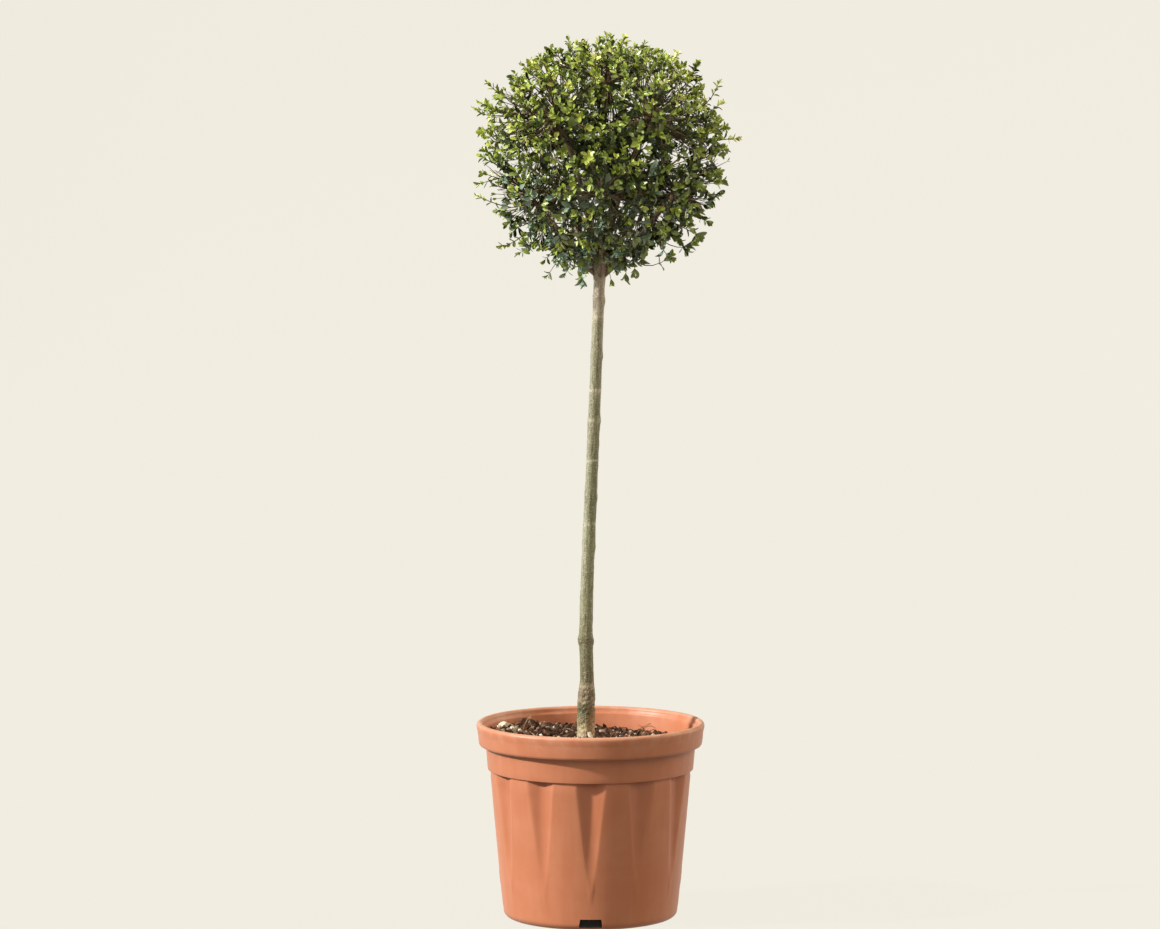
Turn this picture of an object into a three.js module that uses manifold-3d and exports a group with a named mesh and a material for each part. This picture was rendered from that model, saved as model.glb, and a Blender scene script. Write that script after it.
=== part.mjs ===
// Lollipop topiary: a clipped ball of small leaves on a bare stem, in a fluted plastic nursery pot.
// Millimetres, +Z up. The origin is the centre of the pot's flat underside, and the front faces -Y.
import * as THREE from 'three';
import { ConvexGeometry } from 'three/addons/geometries/ConvexGeometry.js';
import { mergeVertices } from 'three/addons/utils/BufferGeometryUtils.js';
import Module from 'manifold-3d';

const wasm = await Module();
wasm.setup();

// Driving dimensions of the pot
const pot = {
  rimRadius: 150,
  height: 258,
  skirtBottom: 228,
  skirtRadius: 147,
  lipRadius: 4.5,
  collarBottom: 196,
  collarTopRadius: 141,
  collarRadius: 138,
  collarFootRadius: 135.3,
  bodyTopRadius: 133.3,
  bodyFootRadius: 115.2,
  cornerRadius: 10,
  wall: 3,
  segments: 36,
};
const flute = { count: 12, bottom: 48, halfAngle: 9, depth: 7, spread: 1.6 };
const notch = { count: 4, width: 33, topWidth: 27, height: 12, reach: 30 };

// Driving dimensions of the soil, the stem and the ball
const soil = { level: 235, slope: 0.05, flatRadius: 32, easeRadius: 60, rings: 6, segments: 24 };
const humps = [
  { height: 2.2, across: 19, deep: 23 },
  { height: 1.3, across: 9, deep: 11 },
];
const stem = {
  foot: new THREE.Vector2(-5.9, 0),
  fork: new THREE.Vector3(12.5, 3, 862),
  straightTo: 390,
  sway: 4,
  footRadius: 11.8,
  lowRadius: 9.4,
  highRadius: 7.4,
  footTop: 303,
  footEase: 13,
  sides: 8,
  steps: 44,
};
const knuckles = { heights: [367, 497, 560, 652, 740, 812], swell: 1.2, halfHeight: 10 };
const head = { radius: 11.5, halfHeight: 17 };
const crown = {
  centre: new THREE.Vector3(17.6, 0, 1008),
  halfWidth: 171,
  above: 161,
  below: 168,
  squareness: 2.3,
  scatter: 14,
};
const lumps = { height: 0.025, around: 3, upright: 4, shift: 2, fineHeight: 0.01, fineAround: 7 };
const bough = { baseRadius: 4.5, tipRadius: 3.2, sides: 5, steps: 4 };
const entry = { first: 0.5, last: 0.9, step: 0.02 };
const stalk = { taper: 0.8, steps: 2 };
const clearance = 0.3;
const finest = 0.05;
const cellMargin = 0.6;
const core = { reach: 0.72, margin: 5, detail: 1, halvings: 20 };
const shoots = {
  count: 93,
  jitter: 0.1,
  least: 0.95,
  baseRadius: 2.6,
  tipRadius: 2,
  sides: 3,
  steps: 2,
  lift: 9,
  sag: 0.3,
};
const leaf = {
  length: 49,
  width: 31,
  thickness: 1.6,
  vary: 0.3,
  widest: 0.6,
  rib: 0.5,
  fold: 0.07,
  sunk: 0.9,
};
const leafTries = { sizes: [1, 0.72], wider: [0, 16, 32, 48], turns: [0, 32, -32, 64, -64] };
const endLeaf = { at: 0.97, share: 0.8, spread: 12 };
const whorls = [
  { back: 25, spread: 72, turn: 0, vary: 14 },
  { back: 9, spread: 56, turn: 90, vary: 14 },
];
const seed = 11;

// Rings of leaf masses: place from the crown's centre, bough's start on the head, bough's arch
const massRings = [
  {
    name: 'top', count: 1, out: 2, up: 84, firstAzimuth: 0,
    startOut: 0, startUp: 0, archOut: 0.1, archUp: 0.55,
  },
  {
    name: 'upper', count: 4, out: 88, up: 40, firstAzimuth: 45,
    startOut: 7.2, startUp: 0, archOut: 0.32, archUp: 0.62,
  },
  {
    name: 'lower', count: 5, out: 92, up: -58, firstAzimuth: 54,
    startOut: 4, startUp: -17, archOut: 0.5, archUp: 0.35,
  },
];

// Shoots that the shears missed: azimuth from +X and elevation in degrees, reach beyond the outline
const strays = [
  { azimuth: -4, elevation: 5, reach: 1.06 },
  { azimuth: 184, elevation: 21, reach: 1.07 },
  { azimuth: 176, elevation: -15, reach: 1.05 },
  { azimuth: 200, elevation: -71, reach: 1.06 },
  { azimuth: 222, elevation: -76, reach: 1.08 },
  { azimuth: -22, elevation: -56, reach: 1.04 },
  { azimuth: 70, elevation: 40, reach: 1.05 },
  { azimuth: 118, elevation: -30, reach: 1.05 },
];

const up = new THREE.Vector3(0, 0, 1);
const radians = THREE.MathUtils.degToRad;

// Seeded random numbers from 0 to 1: the mulberry32 rule on 32-bit whole numbers
function randomFrom(start) {
  let state = start;
  return () => {
    state = (state + 0x6d2b79f5) | 0;
    let mixed = Math.imul(state ^ (state >>> 15), 1 | state);
    mixed = (mixed + Math.imul(mixed ^ (mixed >>> 7), 61 | mixed)) ^ mixed;
    return ((mixed ^ (mixed >>> 14)) >>> 0) / 4294967296;
  };
}

// A closed three.js geometry as a solid that can be joined and cut
function solidOf(geometry) {
  const bare = geometry.index ? geometry.toNonIndexed() : geometry.clone();
  for (const name of Object.keys(bare.attributes)) {
    if (name !== 'position') {
      bare.deleteAttribute(name);
    }
  }
  const merged = mergeVertices(bare, 1e-4);
  const positions = Float32Array.from(merged.attributes.position.array);
  const triangles = [];
  for (let i = 0; i < merged.index.count; i += 3) {
    const [a, b, c] = [0, 1, 2].map((k) => merged.index.getX(i + k));
    if (a !== b && b !== c && c !== a) {
      triangles.push(a, b, c);
    }
  }
  return new wasm.Manifold(new wasm.Mesh({
    numProp: 3,
    vertProperties: positions,
    triVerts: Uint32Array.from(triangles),
  }));
}

// The largest connected piece without its finest slivers: sealed hollows are filled, scraps dropped
function mainPiece(solid) {
  return solid.asOriginal().simplify(finest).decompose().sort((a, b) => b.volume() - a.volume())[0];
}

// A solid as a three.js geometry
function geometryOf(solid) {
  const mesh = solid.getMesh();
  const geometry = new THREE.BufferGeometry();
  geometry.setAttribute('position', new THREE.BufferAttribute(mesh.vertProperties, 3));
  geometry.setIndex(new THREE.BufferAttribute(mesh.triVerts, 1));
  geometry.computeVertexNormals();
  return geometry;
}

// A profile of [radius, height] points turned round the Z axis
function turned(profile, segments) {
  const points = profile.map(([radius, height]) => new THREE.Vector2(radius, height));
  return new THREE.LatheGeometry(points, segments).rotateX(Math.PI / 2);
}

// Points of a circular arc in a [radius, height] profile, angles in degrees
function arc(radius, height, size, from, to, steps) {
  return Array.from({ length: steps + 1 }, (_, i) => {
    const angle = radians(from + ((to - from) * i) / steps);
    return [radius + size * Math.cos(angle), height + size * Math.sin(angle)];
  });
}

// The pot's body radius: straight sides from the foot's corner to the collar
function bodyRadiusAt(height) {
  const share = (height - pot.cornerRadius) / (pot.collarBottom - pot.cornerRadius);
  return THREE.MathUtils.lerp(pot.bodyFootRadius, pot.bodyTopRadius, share);
}

// The rounded corner at the foot, moved inward by `inset`
function footCorner(inset) {
  const size = pot.cornerRadius;
  return arc(pot.bodyFootRadius - size, size, size - inset, -90, 0, 3);
}

// One flute: a V that is widest under the collar and runs out to a point near the foot
function fluteWedge(azimuth, inset) {
  const half = radians(flute.halfAngle);
  const top = pot.collarBottom + inset;
  const topRadius = pot.bodyTopRadius - inset;
  const crease = new THREE.Vector3(topRadius - flute.depth, 0, top);
  const tip = new THREE.Vector3(bodyRadiusAt(flute.bottom) - inset, 0, flute.bottom);
  const edges = [-half, half].map((angle) => {
    const edge = new THREE.Vector3(topRadius * Math.cos(angle), topRadius * Math.sin(angle), top);
    return edge.sub(crease).multiplyScalar(flute.spread).add(crease);
  });
  return solidOf(new ConvexGeometry([crease, tip, ...edges]).rotateZ(azimuth));
}

// All flutes, with one at the front
function fluteWedges(inset) {
  const wedges = Array.from({ length: flute.count }, (_, i) => (
    fluteWedge(-Math.PI / 2 + (i * 2 * Math.PI) / flute.count, inset)
  ));
  return wasm.Manifold.union(wedges);
}

// The drainage notches at the foot: trapezoids pushed in from outside
function drainNotches() {
  const outline = new THREE.Shape([
    new THREE.Vector2(-notch.width / 2, -1),
    new THREE.Vector2(notch.width / 2, -1),
    new THREE.Vector2(notch.topWidth / 2, notch.height),
    new THREE.Vector2(-notch.topWidth / 2, notch.height),
  ]);
  const startRadius = pot.bodyFootRadius - notch.reach / 2;
  const cuts = Array.from({ length: notch.count }, (_, i) => {
    const block = new THREE.ExtrudeGeometry(outline, { depth: notch.reach, bevelEnabled: false });
    block.rotateX(Math.PI / 2).translate(0, -startRadius, 0);
    return solidOf(block.rotateZ((i * 2 * Math.PI) / notch.count));
  });
  return wasm.Manifold.union(cuts);
}

// What the pot holds: its inner wall from the floor up, kept `gap` clear of that wall
function innerSpace(gap, top) {
  const inset = pot.wall + gap;
  const block = solidOf(turned([
    [0, inset],
    ...footCorner(inset),
    [pot.bodyTopRadius - inset, pot.collarBottom + inset],
    [pot.collarFootRadius - inset, pot.collarBottom + inset],
    [pot.collarRadius - inset, pot.skirtBottom],
    [pot.collarTopRadius - inset, pot.height - 2 * pot.lipRadius],
    [pot.rimRadius - 2 * pot.lipRadius - gap, pot.height - pot.lipRadius],
    [pot.rimRadius - 2 * pot.lipRadius - gap, top],
    [0, top],
  ], pot.segments));
  return block.subtract(fluteWedges(inset));
}

// The pot: body, collar and folded rim with a skirt, hollow, with flutes and drainage notches
function potSolid() {
  const lip = arc(pot.rimRadius - pot.lipRadius, pot.height - pot.lipRadius, pot.lipRadius, 0, 180, 4);
  const grooveTop = pot.height - 2 * pot.lipRadius;
  const outer = solidOf(turned([
    [0, 0],
    ...footCorner(0),
    [pot.bodyTopRadius, pot.collarBottom],
    [pot.collarFootRadius, pot.collarBottom],
    [pot.collarRadius, pot.skirtBottom],
    [pot.collarTopRadius, grooveTop],
    [pot.skirtRadius - pot.wall, grooveTop],
    [pot.skirtRadius - pot.wall, pot.skirtBottom],
    [pot.skirtRadius, pot.skirtBottom],
    ...lip,
    [0, pot.height - pot.lipRadius],
  ], pot.segments));
  const shell = outer.subtract(fluteWedges(0)).subtract(innerSpace(0, pot.height + pot.wall));
  return mainPiece(shell.subtract(drainNotches()));
}

// Height of the soil: it slopes down to the right, with low humps, and lies flat round the stem
function soilHeightAt(x, y) {
  const distance = Math.hypot(x - stem.foot.x, y - stem.foot.y);
  const ease = THREE.MathUtils.smoothstep(distance, soil.flatRadius, soil.easeRadius);
  const rise = humps.reduce((sum, { height, across, deep }) => (
    sum + height * Math.sin(x / across + 1) * Math.cos(y / deep)
  ), -soil.slope * x);
  return soil.level + ease * rise;
}

// The soil: the pot's inner space, cut off by that surface
function soilSolid() {
  const rings = Array.from({ length: soil.rings + 1 }, (_, i) => (
    [pot.rimRadius * (1 - i / soil.rings), soil.level]
  ));
  const ground = turned([[0, 0], [pot.rimRadius, 0], ...rings], soil.segments);
  const place = ground.attributes.position;
  for (let i = 0; i < place.count; i += 1) {
    if (place.getZ(i) > soil.level / 2) {
      place.setZ(i, soilHeightAt(place.getX(i), place.getY(i)));
    }
  }
  return mainPiece(innerSpace(clearance, pot.height).intersect(solidOf(ground)));
}

// A stretch of a curve, as a curve of its own
class Stretch extends THREE.Curve {
  constructor(whole, from, to) {
    super();
    Object.assign(this, { whole, from, to });
  }

  getPoint(t) {
    return this.whole.getPoint(THREE.MathUtils.lerp(this.from, this.to, t));
  }
}

// Three directions at a place on a curve: across, across again, and along
function frameAt(path, t) {
  const along = path.getTangent(t);
  const side = new THREE.Vector3(1, 0, 0);
  if (Math.abs(along.x) > 0.8) {
    side.set(0, 1, 0);
  }
  const across = new THREE.Vector3().crossVectors(side, along).normalize();
  return [new THREE.Vector3().crossVectors(along, across).normalize(), across, along];
}

// A cylinder or cone of unit length bent along a path; `level` keeps its rings level
function bentAlong(path, geometry, level = false) {
  const place = geometry.attributes.position;
  const point = new THREE.Vector3();
  for (let i = 0; i < place.count; i += 1) {
    point.fromBufferAttribute(place, i);
    const t = THREE.MathUtils.clamp(point.y + 0.5, 0, 1);
    const [side, across] = level ? [new THREE.Vector3(1, 0, 0), new THREE.Vector3(0, -1, 0)]
      : frameAt(path, t);
    const bent = path.getPoint(t).addScaledVector(side, point.x).addScaledVector(across, point.z);
    place.setXYZ(i, bent.x, bent.y, bent.z);
  }
  return geometry;
}

// The stem's centre line: upright from the soil, then a light lean to the fork, with a slight sway
function stemPath(gap) {
  const middle = stem.fork.clone().lerp(new THREE.Vector3(stem.foot.x, stem.sway, stem.straightTo), 0.5);
  return new THREE.CatmullRomCurve3([
    new THREE.Vector3(stem.foot.x, stem.foot.y, soil.level + clearance),
    new THREE.Vector3(stem.foot.x, stem.foot.y - stem.sway, stem.straightTo),
    middle,
    stem.fork.clone().addScaledVector(up, gap),
  ]);
}

// The stem's radius at a height: a stout foot, a slow taper, knuckles and a swollen head
function stemRadiusAt(z) {
  const share = (z - stem.footTop) / (stem.fork.z - stem.footTop);
  const taper = THREE.MathUtils.lerp(stem.lowRadius, stem.highRadius, THREE.MathUtils.clamp(share, 0, 1));
  const foot = THREE.MathUtils.smoothstep(z, stem.footTop - stem.footEase, stem.footTop + stem.footEase);
  const body = THREE.MathUtils.lerp(stem.footRadius, taper, foot);
  const bumps = knuckles.heights.map((height) => (
    knuckles.swell * Math.exp(-(((z - height) / knuckles.halfHeight) ** 2))
  ));
  const top = Math.exp(-(((z - stem.fork.z) / head.halfHeight) ** 2)) * (head.radius - body);
  return body + bumps.reduce((sum, bump) => sum + bump, 0) + top;
}

// The stem, or the space that others keep clear of it, which is `gap` wider and taller
function stemSolid(gap) {
  const path = stemPath(gap);
  const geometry = new THREE.CylinderGeometry(1, 1, 1, stem.sides, stem.steps);
  const place = geometry.attributes.position;
  for (let i = 0; i < place.count; i += 1) {
    const height = path.getPoint(THREE.MathUtils.clamp(place.getY(i) + 0.5, 0, 1)).z;
    const radius = stemRadiusAt(height) + gap;
    place.setXYZ(i, place.getX(i) * radius, place.getY(i), place.getZ(i) * radius);
  }
  return solidOf(bentAlong(path, geometry, true));
}

// How far the crown reaches from its centre in a direction: a squarish ball with faint lumps
function crownReach(direction) {
  const across = Math.hypot(direction.x, direction.y) / crown.halfWidth;
  const upright = Math.abs(direction.z) / (direction.z > 0 ? crown.above : crown.below);
  const ball = (across ** crown.squareness + upright ** crown.squareness) ** (-1 / crown.squareness);
  const azimuth = Math.atan2(direction.y, direction.x);
  const broad = Math.sin(lumps.around * azimuth + lumps.shift) * Math.cos(lumps.upright * direction.z);
  return ball * (1 + lumps.height * broad + lumps.fineHeight * Math.sin(lumps.fineAround * azimuth));
}

// Places of the masses, with the route from the stem's head through the bough to the mass's heart
function layOutMasses(random) {
  const masses = [];
  for (const ring of massRings) {
    for (let i = 0; i < ring.count; i += 1) {
      const azimuth = radians(ring.firstAzimuth) + (i * 2 * Math.PI) / ring.count;
      const outward = new THREE.Vector3(Math.cos(azimuth), Math.sin(azimuth), 0);
      const rise = ring.up + (ring.count > 1 ? crown.scatter * (2 * random() - 1) : 0);
      const heart = crown.centre.clone().addScaledVector(outward, ring.out).addScaledVector(up, rise);
      const start = stem.fork.clone().addScaledVector(outward, ring.startOut);
      start.addScaledVector(up, ring.startUp);
      const bend = new THREE.Vector3(
        THREE.MathUtils.lerp(start.x, heart.x, ring.archOut),
        THREE.MathUtils.lerp(start.y, heart.y, ring.archOut),
        THREE.MathUtils.lerp(start.z, heart.z, ring.archUp),
      );
      const route = new THREE.QuadraticBezierCurve3(start, bend, heart);
      const label = ring.count > 1 ? `${ring.name}_${i + 1}` : ring.name;
      masses.push({ label, heart, route });
    }
  }
  for (const mass of masses) {
    mass.entry = entryOf(mass, masses);
  }
  return masses;
}

// A bough: the first part of its route, tapering to where it enters the mass
function boughSolid(mass, gap) {
  const length = mass.route.getLength();
  const path = new Stretch(mass.route, 0, mass.entry + gap / length);
  const geometry = new THREE.CylinderGeometry(
    bough.tipRadius + gap, bough.baseRadius + gap, 1, bough.sides, bough.steps,
  );
  return solidOf(bentAlong(path, geometry));
}

// How deep a point lies in a mass's own space, which is all that is nearer its heart than any other
function cellDepth(point, mass, masses) {
  const depths = masses.filter((other) => other !== mass).map((other) => {
    const middle = other.heart.clone().add(mass.heart).multiplyScalar(0.5);
    const inward = mass.heart.clone().sub(other.heart).normalize();
    return point.clone().sub(middle).dot(inward);
  });
  return Math.min(...depths);
}

// The corners of a geometry
function cornersOf(geometry) {
  const place = geometry.attributes.position;
  return Array.from({ length: place.count }, (_, i) => (
    new THREE.Vector3().fromBufferAttribute(place, i)
  ));
}

// True when a geometry lies in the mass's own space
function staysInCell(geometry, mass, masses) {
  return cornersOf(geometry).every((corner) => cellDepth(corner, mass, masses) > cellMargin);
}

// Where along its route the bough has come into the mass's own space
function entryOf(mass, masses) {
  let t = entry.first;
  while (t < entry.last && cellDepth(mass.route.getPoint(t), mass, masses) < bough.baseRadius) {
    t += entry.step;
  }
  return t;
}

// True when a point lies inside the core's share of the mass's space and of the crown
function insideCore(point, mass, masses) {
  const arm = point.clone().sub(crown.centre);
  const shell = core.reach * crownReach(arm.clone().normalize());
  return arm.length() < shell && cellDepth(point, mass, masses) > core.margin;
}

// The core: a ball round the heart, grown in each direction as far as its share of the space goes
function coreGeometry(mass, masses) {
  const geometry = new THREE.IcosahedronGeometry(1, core.detail);
  const place = geometry.attributes.position;
  for (let i = 0; i < place.count; i += 1) {
    const direction = new THREE.Vector3().fromBufferAttribute(place, i).normalize();
    const point = new THREE.Vector3();
    let [near, far] = [0, crown.halfWidth];
    for (let halving = 0; halving < core.halvings; halving += 1) {
      const middle = (near + far) / 2;
      point.copy(mass.heart).addScaledVector(direction, middle);
      [near, far] = insideCore(point, mass, masses) ? [middle, far] : [near, middle];
    }
    point.copy(mass.heart).addScaledVector(direction, near);
    place.setXYZ(i, point.x, point.y, point.z);
  }
  return geometry;
}

// A leaf of eight faces: pointed at root and tip, widest past the middle, folded along its rib
function leafGeometry(length) {
  const geometry = new THREE.OctahedronGeometry(1);
  const place = geometry.attributes.position;
  const width = (leaf.width * length) / leaf.length;
  for (let i = 0; i < place.count; i += 1) {
    const [x, y, z] = [place.getX(i), place.getY(i), place.getZ(i)];
    const [side, rib] = [Math.abs(y), Math.abs(z)];
    const along = (x + 1) / 2 + (leaf.widest - 0.5) * side + (leaf.rib - 0.5) * rib;
    const height = (z * leaf.thickness) / 2 - rib * leaf.fold * length;
    place.setXYZ(i, along * length - leaf.sunk, (y * width) / 2, height);
  }
  return geometry;
}

// A leaf set at a point, along an axis, with its face turned as far outward as the axis allows
function placedLeaf(point, axis, length) {
  const outward = point.clone().sub(crown.centre).normalize();
  const side = new THREE.Vector3().crossVectors(outward, axis).normalize();
  const face = new THREE.Vector3().crossVectors(axis, side);
  const matrix = new THREE.Matrix4().makeBasis(axis, side, face).setPosition(point);
  return leafGeometry(length).applyMatrix4(matrix);
}

// A leaf that stands off a shoot: it is turned, spread wider or made smaller until it fits
function sideLeaf(path, at, angle, spread, length, fits) {
  const [side, across, along] = frameAt(path, at);
  for (const size of leafTries.sizes) {
    for (const wider of leafTries.wider) {
      for (const turn of leafTries.turns) {
        const way = angle + radians(turn);
        const open = radians(spread + wider);
        const axis = side.clone().multiplyScalar(Math.cos(way)).addScaledVector(across, Math.sin(way));
        axis.multiplyScalar(Math.sin(open)).addScaledVector(along, Math.cos(open));
        const solid = fits(placedLeaf(path.getPoint(at), axis, length * size));
        if (solid) {
          return solid;
        }
      }
    }
  }
  return null;
}

// The leaves of one shoot: pairs set crosswise along its outer half, and one at its tip
function shootLeaves(path, fits, random) {
  const leaves = [];
  const turn = random() * Math.PI;
  for (const whorl of whorls) {
    const at = Math.max(0, 1 - whorl.back / path.getLength());
    for (const half of [0, Math.PI]) {
      const angle = turn + radians(whorl.turn) + half;
      const spread = whorl.spread + whorl.vary * (random() - 0.5);
      const length = leaf.length * (1 + leaf.vary * (random() - 0.5));
      leaves.push(sideLeaf(path, at, angle, spread, length, fits));
    }
  }
  leaves.push(sideLeaf(path, endLeaf.at, turn, endLeaf.spread, leaf.length * endLeaf.share, fits));
  return leaves.filter(Boolean);
}

// Where the shoots aim: evenly spread over the crown's outline, a little short of it, then the strays
function layOutAims(random) {
  const aims = [];
  for (let i = 0; i < shoots.count; i += 1) {
    const height = 1 - (2 * i + 1) / shoots.count;
    const azimuth = i * Math.PI * (3 - Math.sqrt(5)) + shoots.jitter * (random() - 0.5);
    const flat = Math.sqrt(1 - height * height);
    const direction = new THREE.Vector3(flat * Math.cos(azimuth), flat * Math.sin(azimuth), height);
    aims.push({ direction, reach: THREE.MathUtils.lerp(shoots.least, 1, random()) });
  }
  for (const stray of strays) {
    const flat = Math.cos(radians(stray.elevation));
    const azimuth = radians(stray.azimuth);
    const direction = new THREE.Vector3(
      flat * Math.cos(azimuth), flat * Math.sin(azimuth), Math.sin(radians(stray.elevation)),
    );
    aims.push({ direction, reach: stray.reach });
  }
  return aims.map(({ direction, reach }) => {
    const length = reach * crownReach(direction) - (leaf.length * endLeaf.share - leaf.sunk);
    const tip = crown.centre.clone().addScaledVector(direction, length);
    return { tip, reach: Math.max(reach, 1) };
  });
}

// True when a geometry stays inside the crown's outline, or the stray's own reach
function staysInCrown(geometry, reach) {
  return cornersOf(geometry).every((corner) => {
    const arm = corner.sub(crown.centre);
    return arm.length() < reach * crownReach(arm.clone().normalize());
  });
}

// A twig before it is bent: slim, tapering and three-sided
function twigShape() {
  const { tipRadius, baseRadius, sides, steps } = shoots;
  return new THREE.CylinderGeometry(tipRadius, baseRadius, 1, sides, steps);
}

// A shoot's path from the heart of its mass to where it aims, lifted a little in the middle
function shootPath(heart, tip, lift) {
  const bend = tip.clone().lerp(heart, 0.5).addScaledVector(up, lift);
  return new THREE.QuadraticBezierCurve3(heart, bend, tip);
}

// A foliage mass: stem, core, twigs and leaves, joined into one body
function massSolid(mass, masses, aims, limbs, random) {
  const stalkShape = new THREE.CylinderGeometry(
    bough.tipRadius * stalk.taper, bough.tipRadius, 1, bough.sides, stalk.steps,
  );
  const stalkSolid = solidOf(bentAlong(new Stretch(mass.route, mass.entry, 1), stalkShape));
  const parts = [stalkSolid, solidOf(coreGeometry(mass, masses))];
  let taken = limbs;
  const clearOf = (geometry, others) => {
    const solid = staysInCell(geometry, mass, masses) ? solidOf(geometry) : null;
    return solid && solid.intersect(others).isEmpty() ? solid : null;
  };
  for (const aim of aims.filter(({ tip }) => cellDepth(tip, mass, masses) > 0)) {
    const lifts = [shoots.lift * (random() - shoots.sag), 0];
    const paths = lifts.map((lift) => shootPath(mass.heart, aim.tip, lift));
    const twigs = paths.map((path) => clearOf(bentAlong(path, twigShape()), limbs));
    const chosen = twigs.findIndex(Boolean);
    if (chosen >= 0) {
      const fits = (geometry) => (
        staysInCrown(geometry, aim.reach) ? clearOf(geometry, taken) : null
      );
      const leaves = shootLeaves(paths[chosen], fits, random);
      parts.push(twigs[chosen], ...leaves);
      taken = wasm.Manifold.union([taken, ...leaves]);
    }
  }
  return mainPiece(wasm.Manifold.union(parts).subtract(limbs));
}

// Materials
function finish(color, roughness) {
  return new THREE.MeshStandardMaterial({ color, roughness, metalness: 0 });
}
const materials = {
  plastic: finish('#c8744c', 0.45),
  compost: finish('#33271f', 1),
  bark: finish('#8a805f', 0.85),
  foliage: finish('#5d7a2c', 0.6),
};

// Assembly
const plant = new THREE.Group();
function add(name, solid, material) {
  const mesh = new THREE.Mesh(geometryOf(solid), material);
  mesh.name = name;
  plant.add(mesh);
}
add('pot', potSolid(), materials.plastic);
add('soil', soilSolid(), materials.compost);
add('trunk', stemSolid(0), materials.bark);

const random = randomFrom(seed);
const masses = layOutMasses(random);
const aims = layOutAims(random);
let limbs = stemSolid(clearance);
for (const mass of masses) {
  add(`bough_${mass.label}`, mainPiece(boughSolid(mass, 0).subtract(limbs)), materials.bark);
  limbs = limbs.add(boughSolid(mass, clearance));
}
for (const mass of masses) {
  add(`foliage_${mass.label}`, massSolid(mass, masses, aims, limbs, random), materials.foliage);
}

export default plant;
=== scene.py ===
# A lollipop tree: a clipped ball of small glossy leaves on a bare stem, in a fluted plastic pot.
# Lengths in the settings are millimetres; the meshes are in metres, +Z up, and the front faces -Y.
import math

import bpy
import numpy as np
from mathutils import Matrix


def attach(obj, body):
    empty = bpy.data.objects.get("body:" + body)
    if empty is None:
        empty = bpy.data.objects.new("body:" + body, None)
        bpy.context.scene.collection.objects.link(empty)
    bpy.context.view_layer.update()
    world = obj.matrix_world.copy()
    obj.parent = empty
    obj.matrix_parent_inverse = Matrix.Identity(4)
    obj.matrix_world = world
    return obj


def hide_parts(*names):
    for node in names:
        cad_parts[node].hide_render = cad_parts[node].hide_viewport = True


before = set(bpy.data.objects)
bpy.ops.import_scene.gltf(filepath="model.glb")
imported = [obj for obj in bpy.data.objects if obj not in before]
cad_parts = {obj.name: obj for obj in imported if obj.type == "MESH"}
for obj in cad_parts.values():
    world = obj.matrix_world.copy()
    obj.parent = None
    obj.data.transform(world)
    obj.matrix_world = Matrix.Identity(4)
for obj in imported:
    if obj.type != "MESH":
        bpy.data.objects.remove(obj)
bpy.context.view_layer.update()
nodeNames = sorted(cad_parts)
print("frame loaded with", len(nodeNames), "solids")

mm = 0.001
front = -np.pi / 2  # the azimuth that faces the camera

# Camera
view = {
    "stand": (-0.01383, -6.0, 1.135),  # where the camera is, in metres
    "downward": 5.12,  # its tilt below level, in degrees
    "lens": 142.76,
    "sensor": 36.0,
}
cameraData = bpy.data.cameras.new("photoCamera")
cameraData.lens = view["lens"]
cameraData.sensor_width = view["sensor"]
cameraData.clip_end = 60
camera = bpy.data.objects.new("photoCamera", cameraData)
camera.location = view["stand"]
camera.rotation_euler = (math.radians(90 - view["downward"]), 0, 0)
bpy.context.scene.collection.objects.link(camera)
bpy.context.scene.camera = camera


# Meshes from arrays, and the sums that they share
def makePiece(name, points, faceSets, finish, replaced, smooth=True):
    # points is any array of x, y, z in millimetres; each face set is an array of corner numbers
    mesh = bpy.data.meshes.new(name)
    points = np.asarray(points, np.float64).reshape(-1, 3) * mm
    corners = np.concatenate([faces.ravel() for faces in faceSets]).astype(np.int32)
    sizes = np.concatenate([np.full(len(faces), faces.shape[1]) for faces in faceSets])
    starts = np.concatenate([[0], np.cumsum(sizes)[:-1]]).astype(np.int32)
    mesh.vertices.add(len(points))
    mesh.vertices.foreach_set("co", points.ravel().astype(np.float32))
    mesh.loops.add(len(corners))
    mesh.loops.foreach_set("vertex_index", corners)
    mesh.polygons.add(len(sizes))
    mesh.polygons.foreach_set("loop_start", starts)
    mesh.update(calc_edges=True)
    mesh.validate()
    mesh.polygons.foreach_set("use_smooth", np.full(len(mesh.polygons), smooth))
    mesh.materials.append(finish)
    piece = bpy.data.objects.new(name, mesh)
    bpy.context.scene.collection.objects.link(piece)
    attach(piece, "root")
    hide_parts(*replaced)
    print("  ", name, int((sizes - 2).sum()), "triangles")
    return piece


def gridFaces(rows, columns):
    # quads of a grid whose last column meets its first: (row, column), the next column, the next row
    row = np.arange(rows - 1)[:, None] * columns
    here = np.arange(columns)[None]
    there = (here + 1) % columns
    return np.stack([row + here, row + there, row + there + columns, row + here + columns], -1)


def closedTube(rings, ends):
    # rings is (rows, sides, 3) and ends the two points that close it; faces point out where rows rise
    # and sides run anticlockwise seen from above
    rows, sides = rings.shape[:2]
    here = np.arange(sides)
    there = (here + 1) % sides
    last = (rows - 1) * sides
    first = np.stack([np.full(sides, rows * sides), there, here], -1)
    final = np.stack([np.full(sides, rows * sides + 1), last + here, last + there], -1)
    points = np.concatenate([rings.reshape(-1, 3), np.asarray(ends, float).reshape(-1, 3)])
    return points, gridFaces(rows, sides), np.concatenate([first, final])


def repeated(faces, count, stride):
    # the same faces for each of `count` copies whose points follow each other
    return (faces[None] + stride * np.arange(count)[:, None, None]).reshape(-1, faces.shape[-1])


def around(count):
    # angles at even steps round a circle
    return 2 * np.pi * np.arange(count) / count


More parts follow.
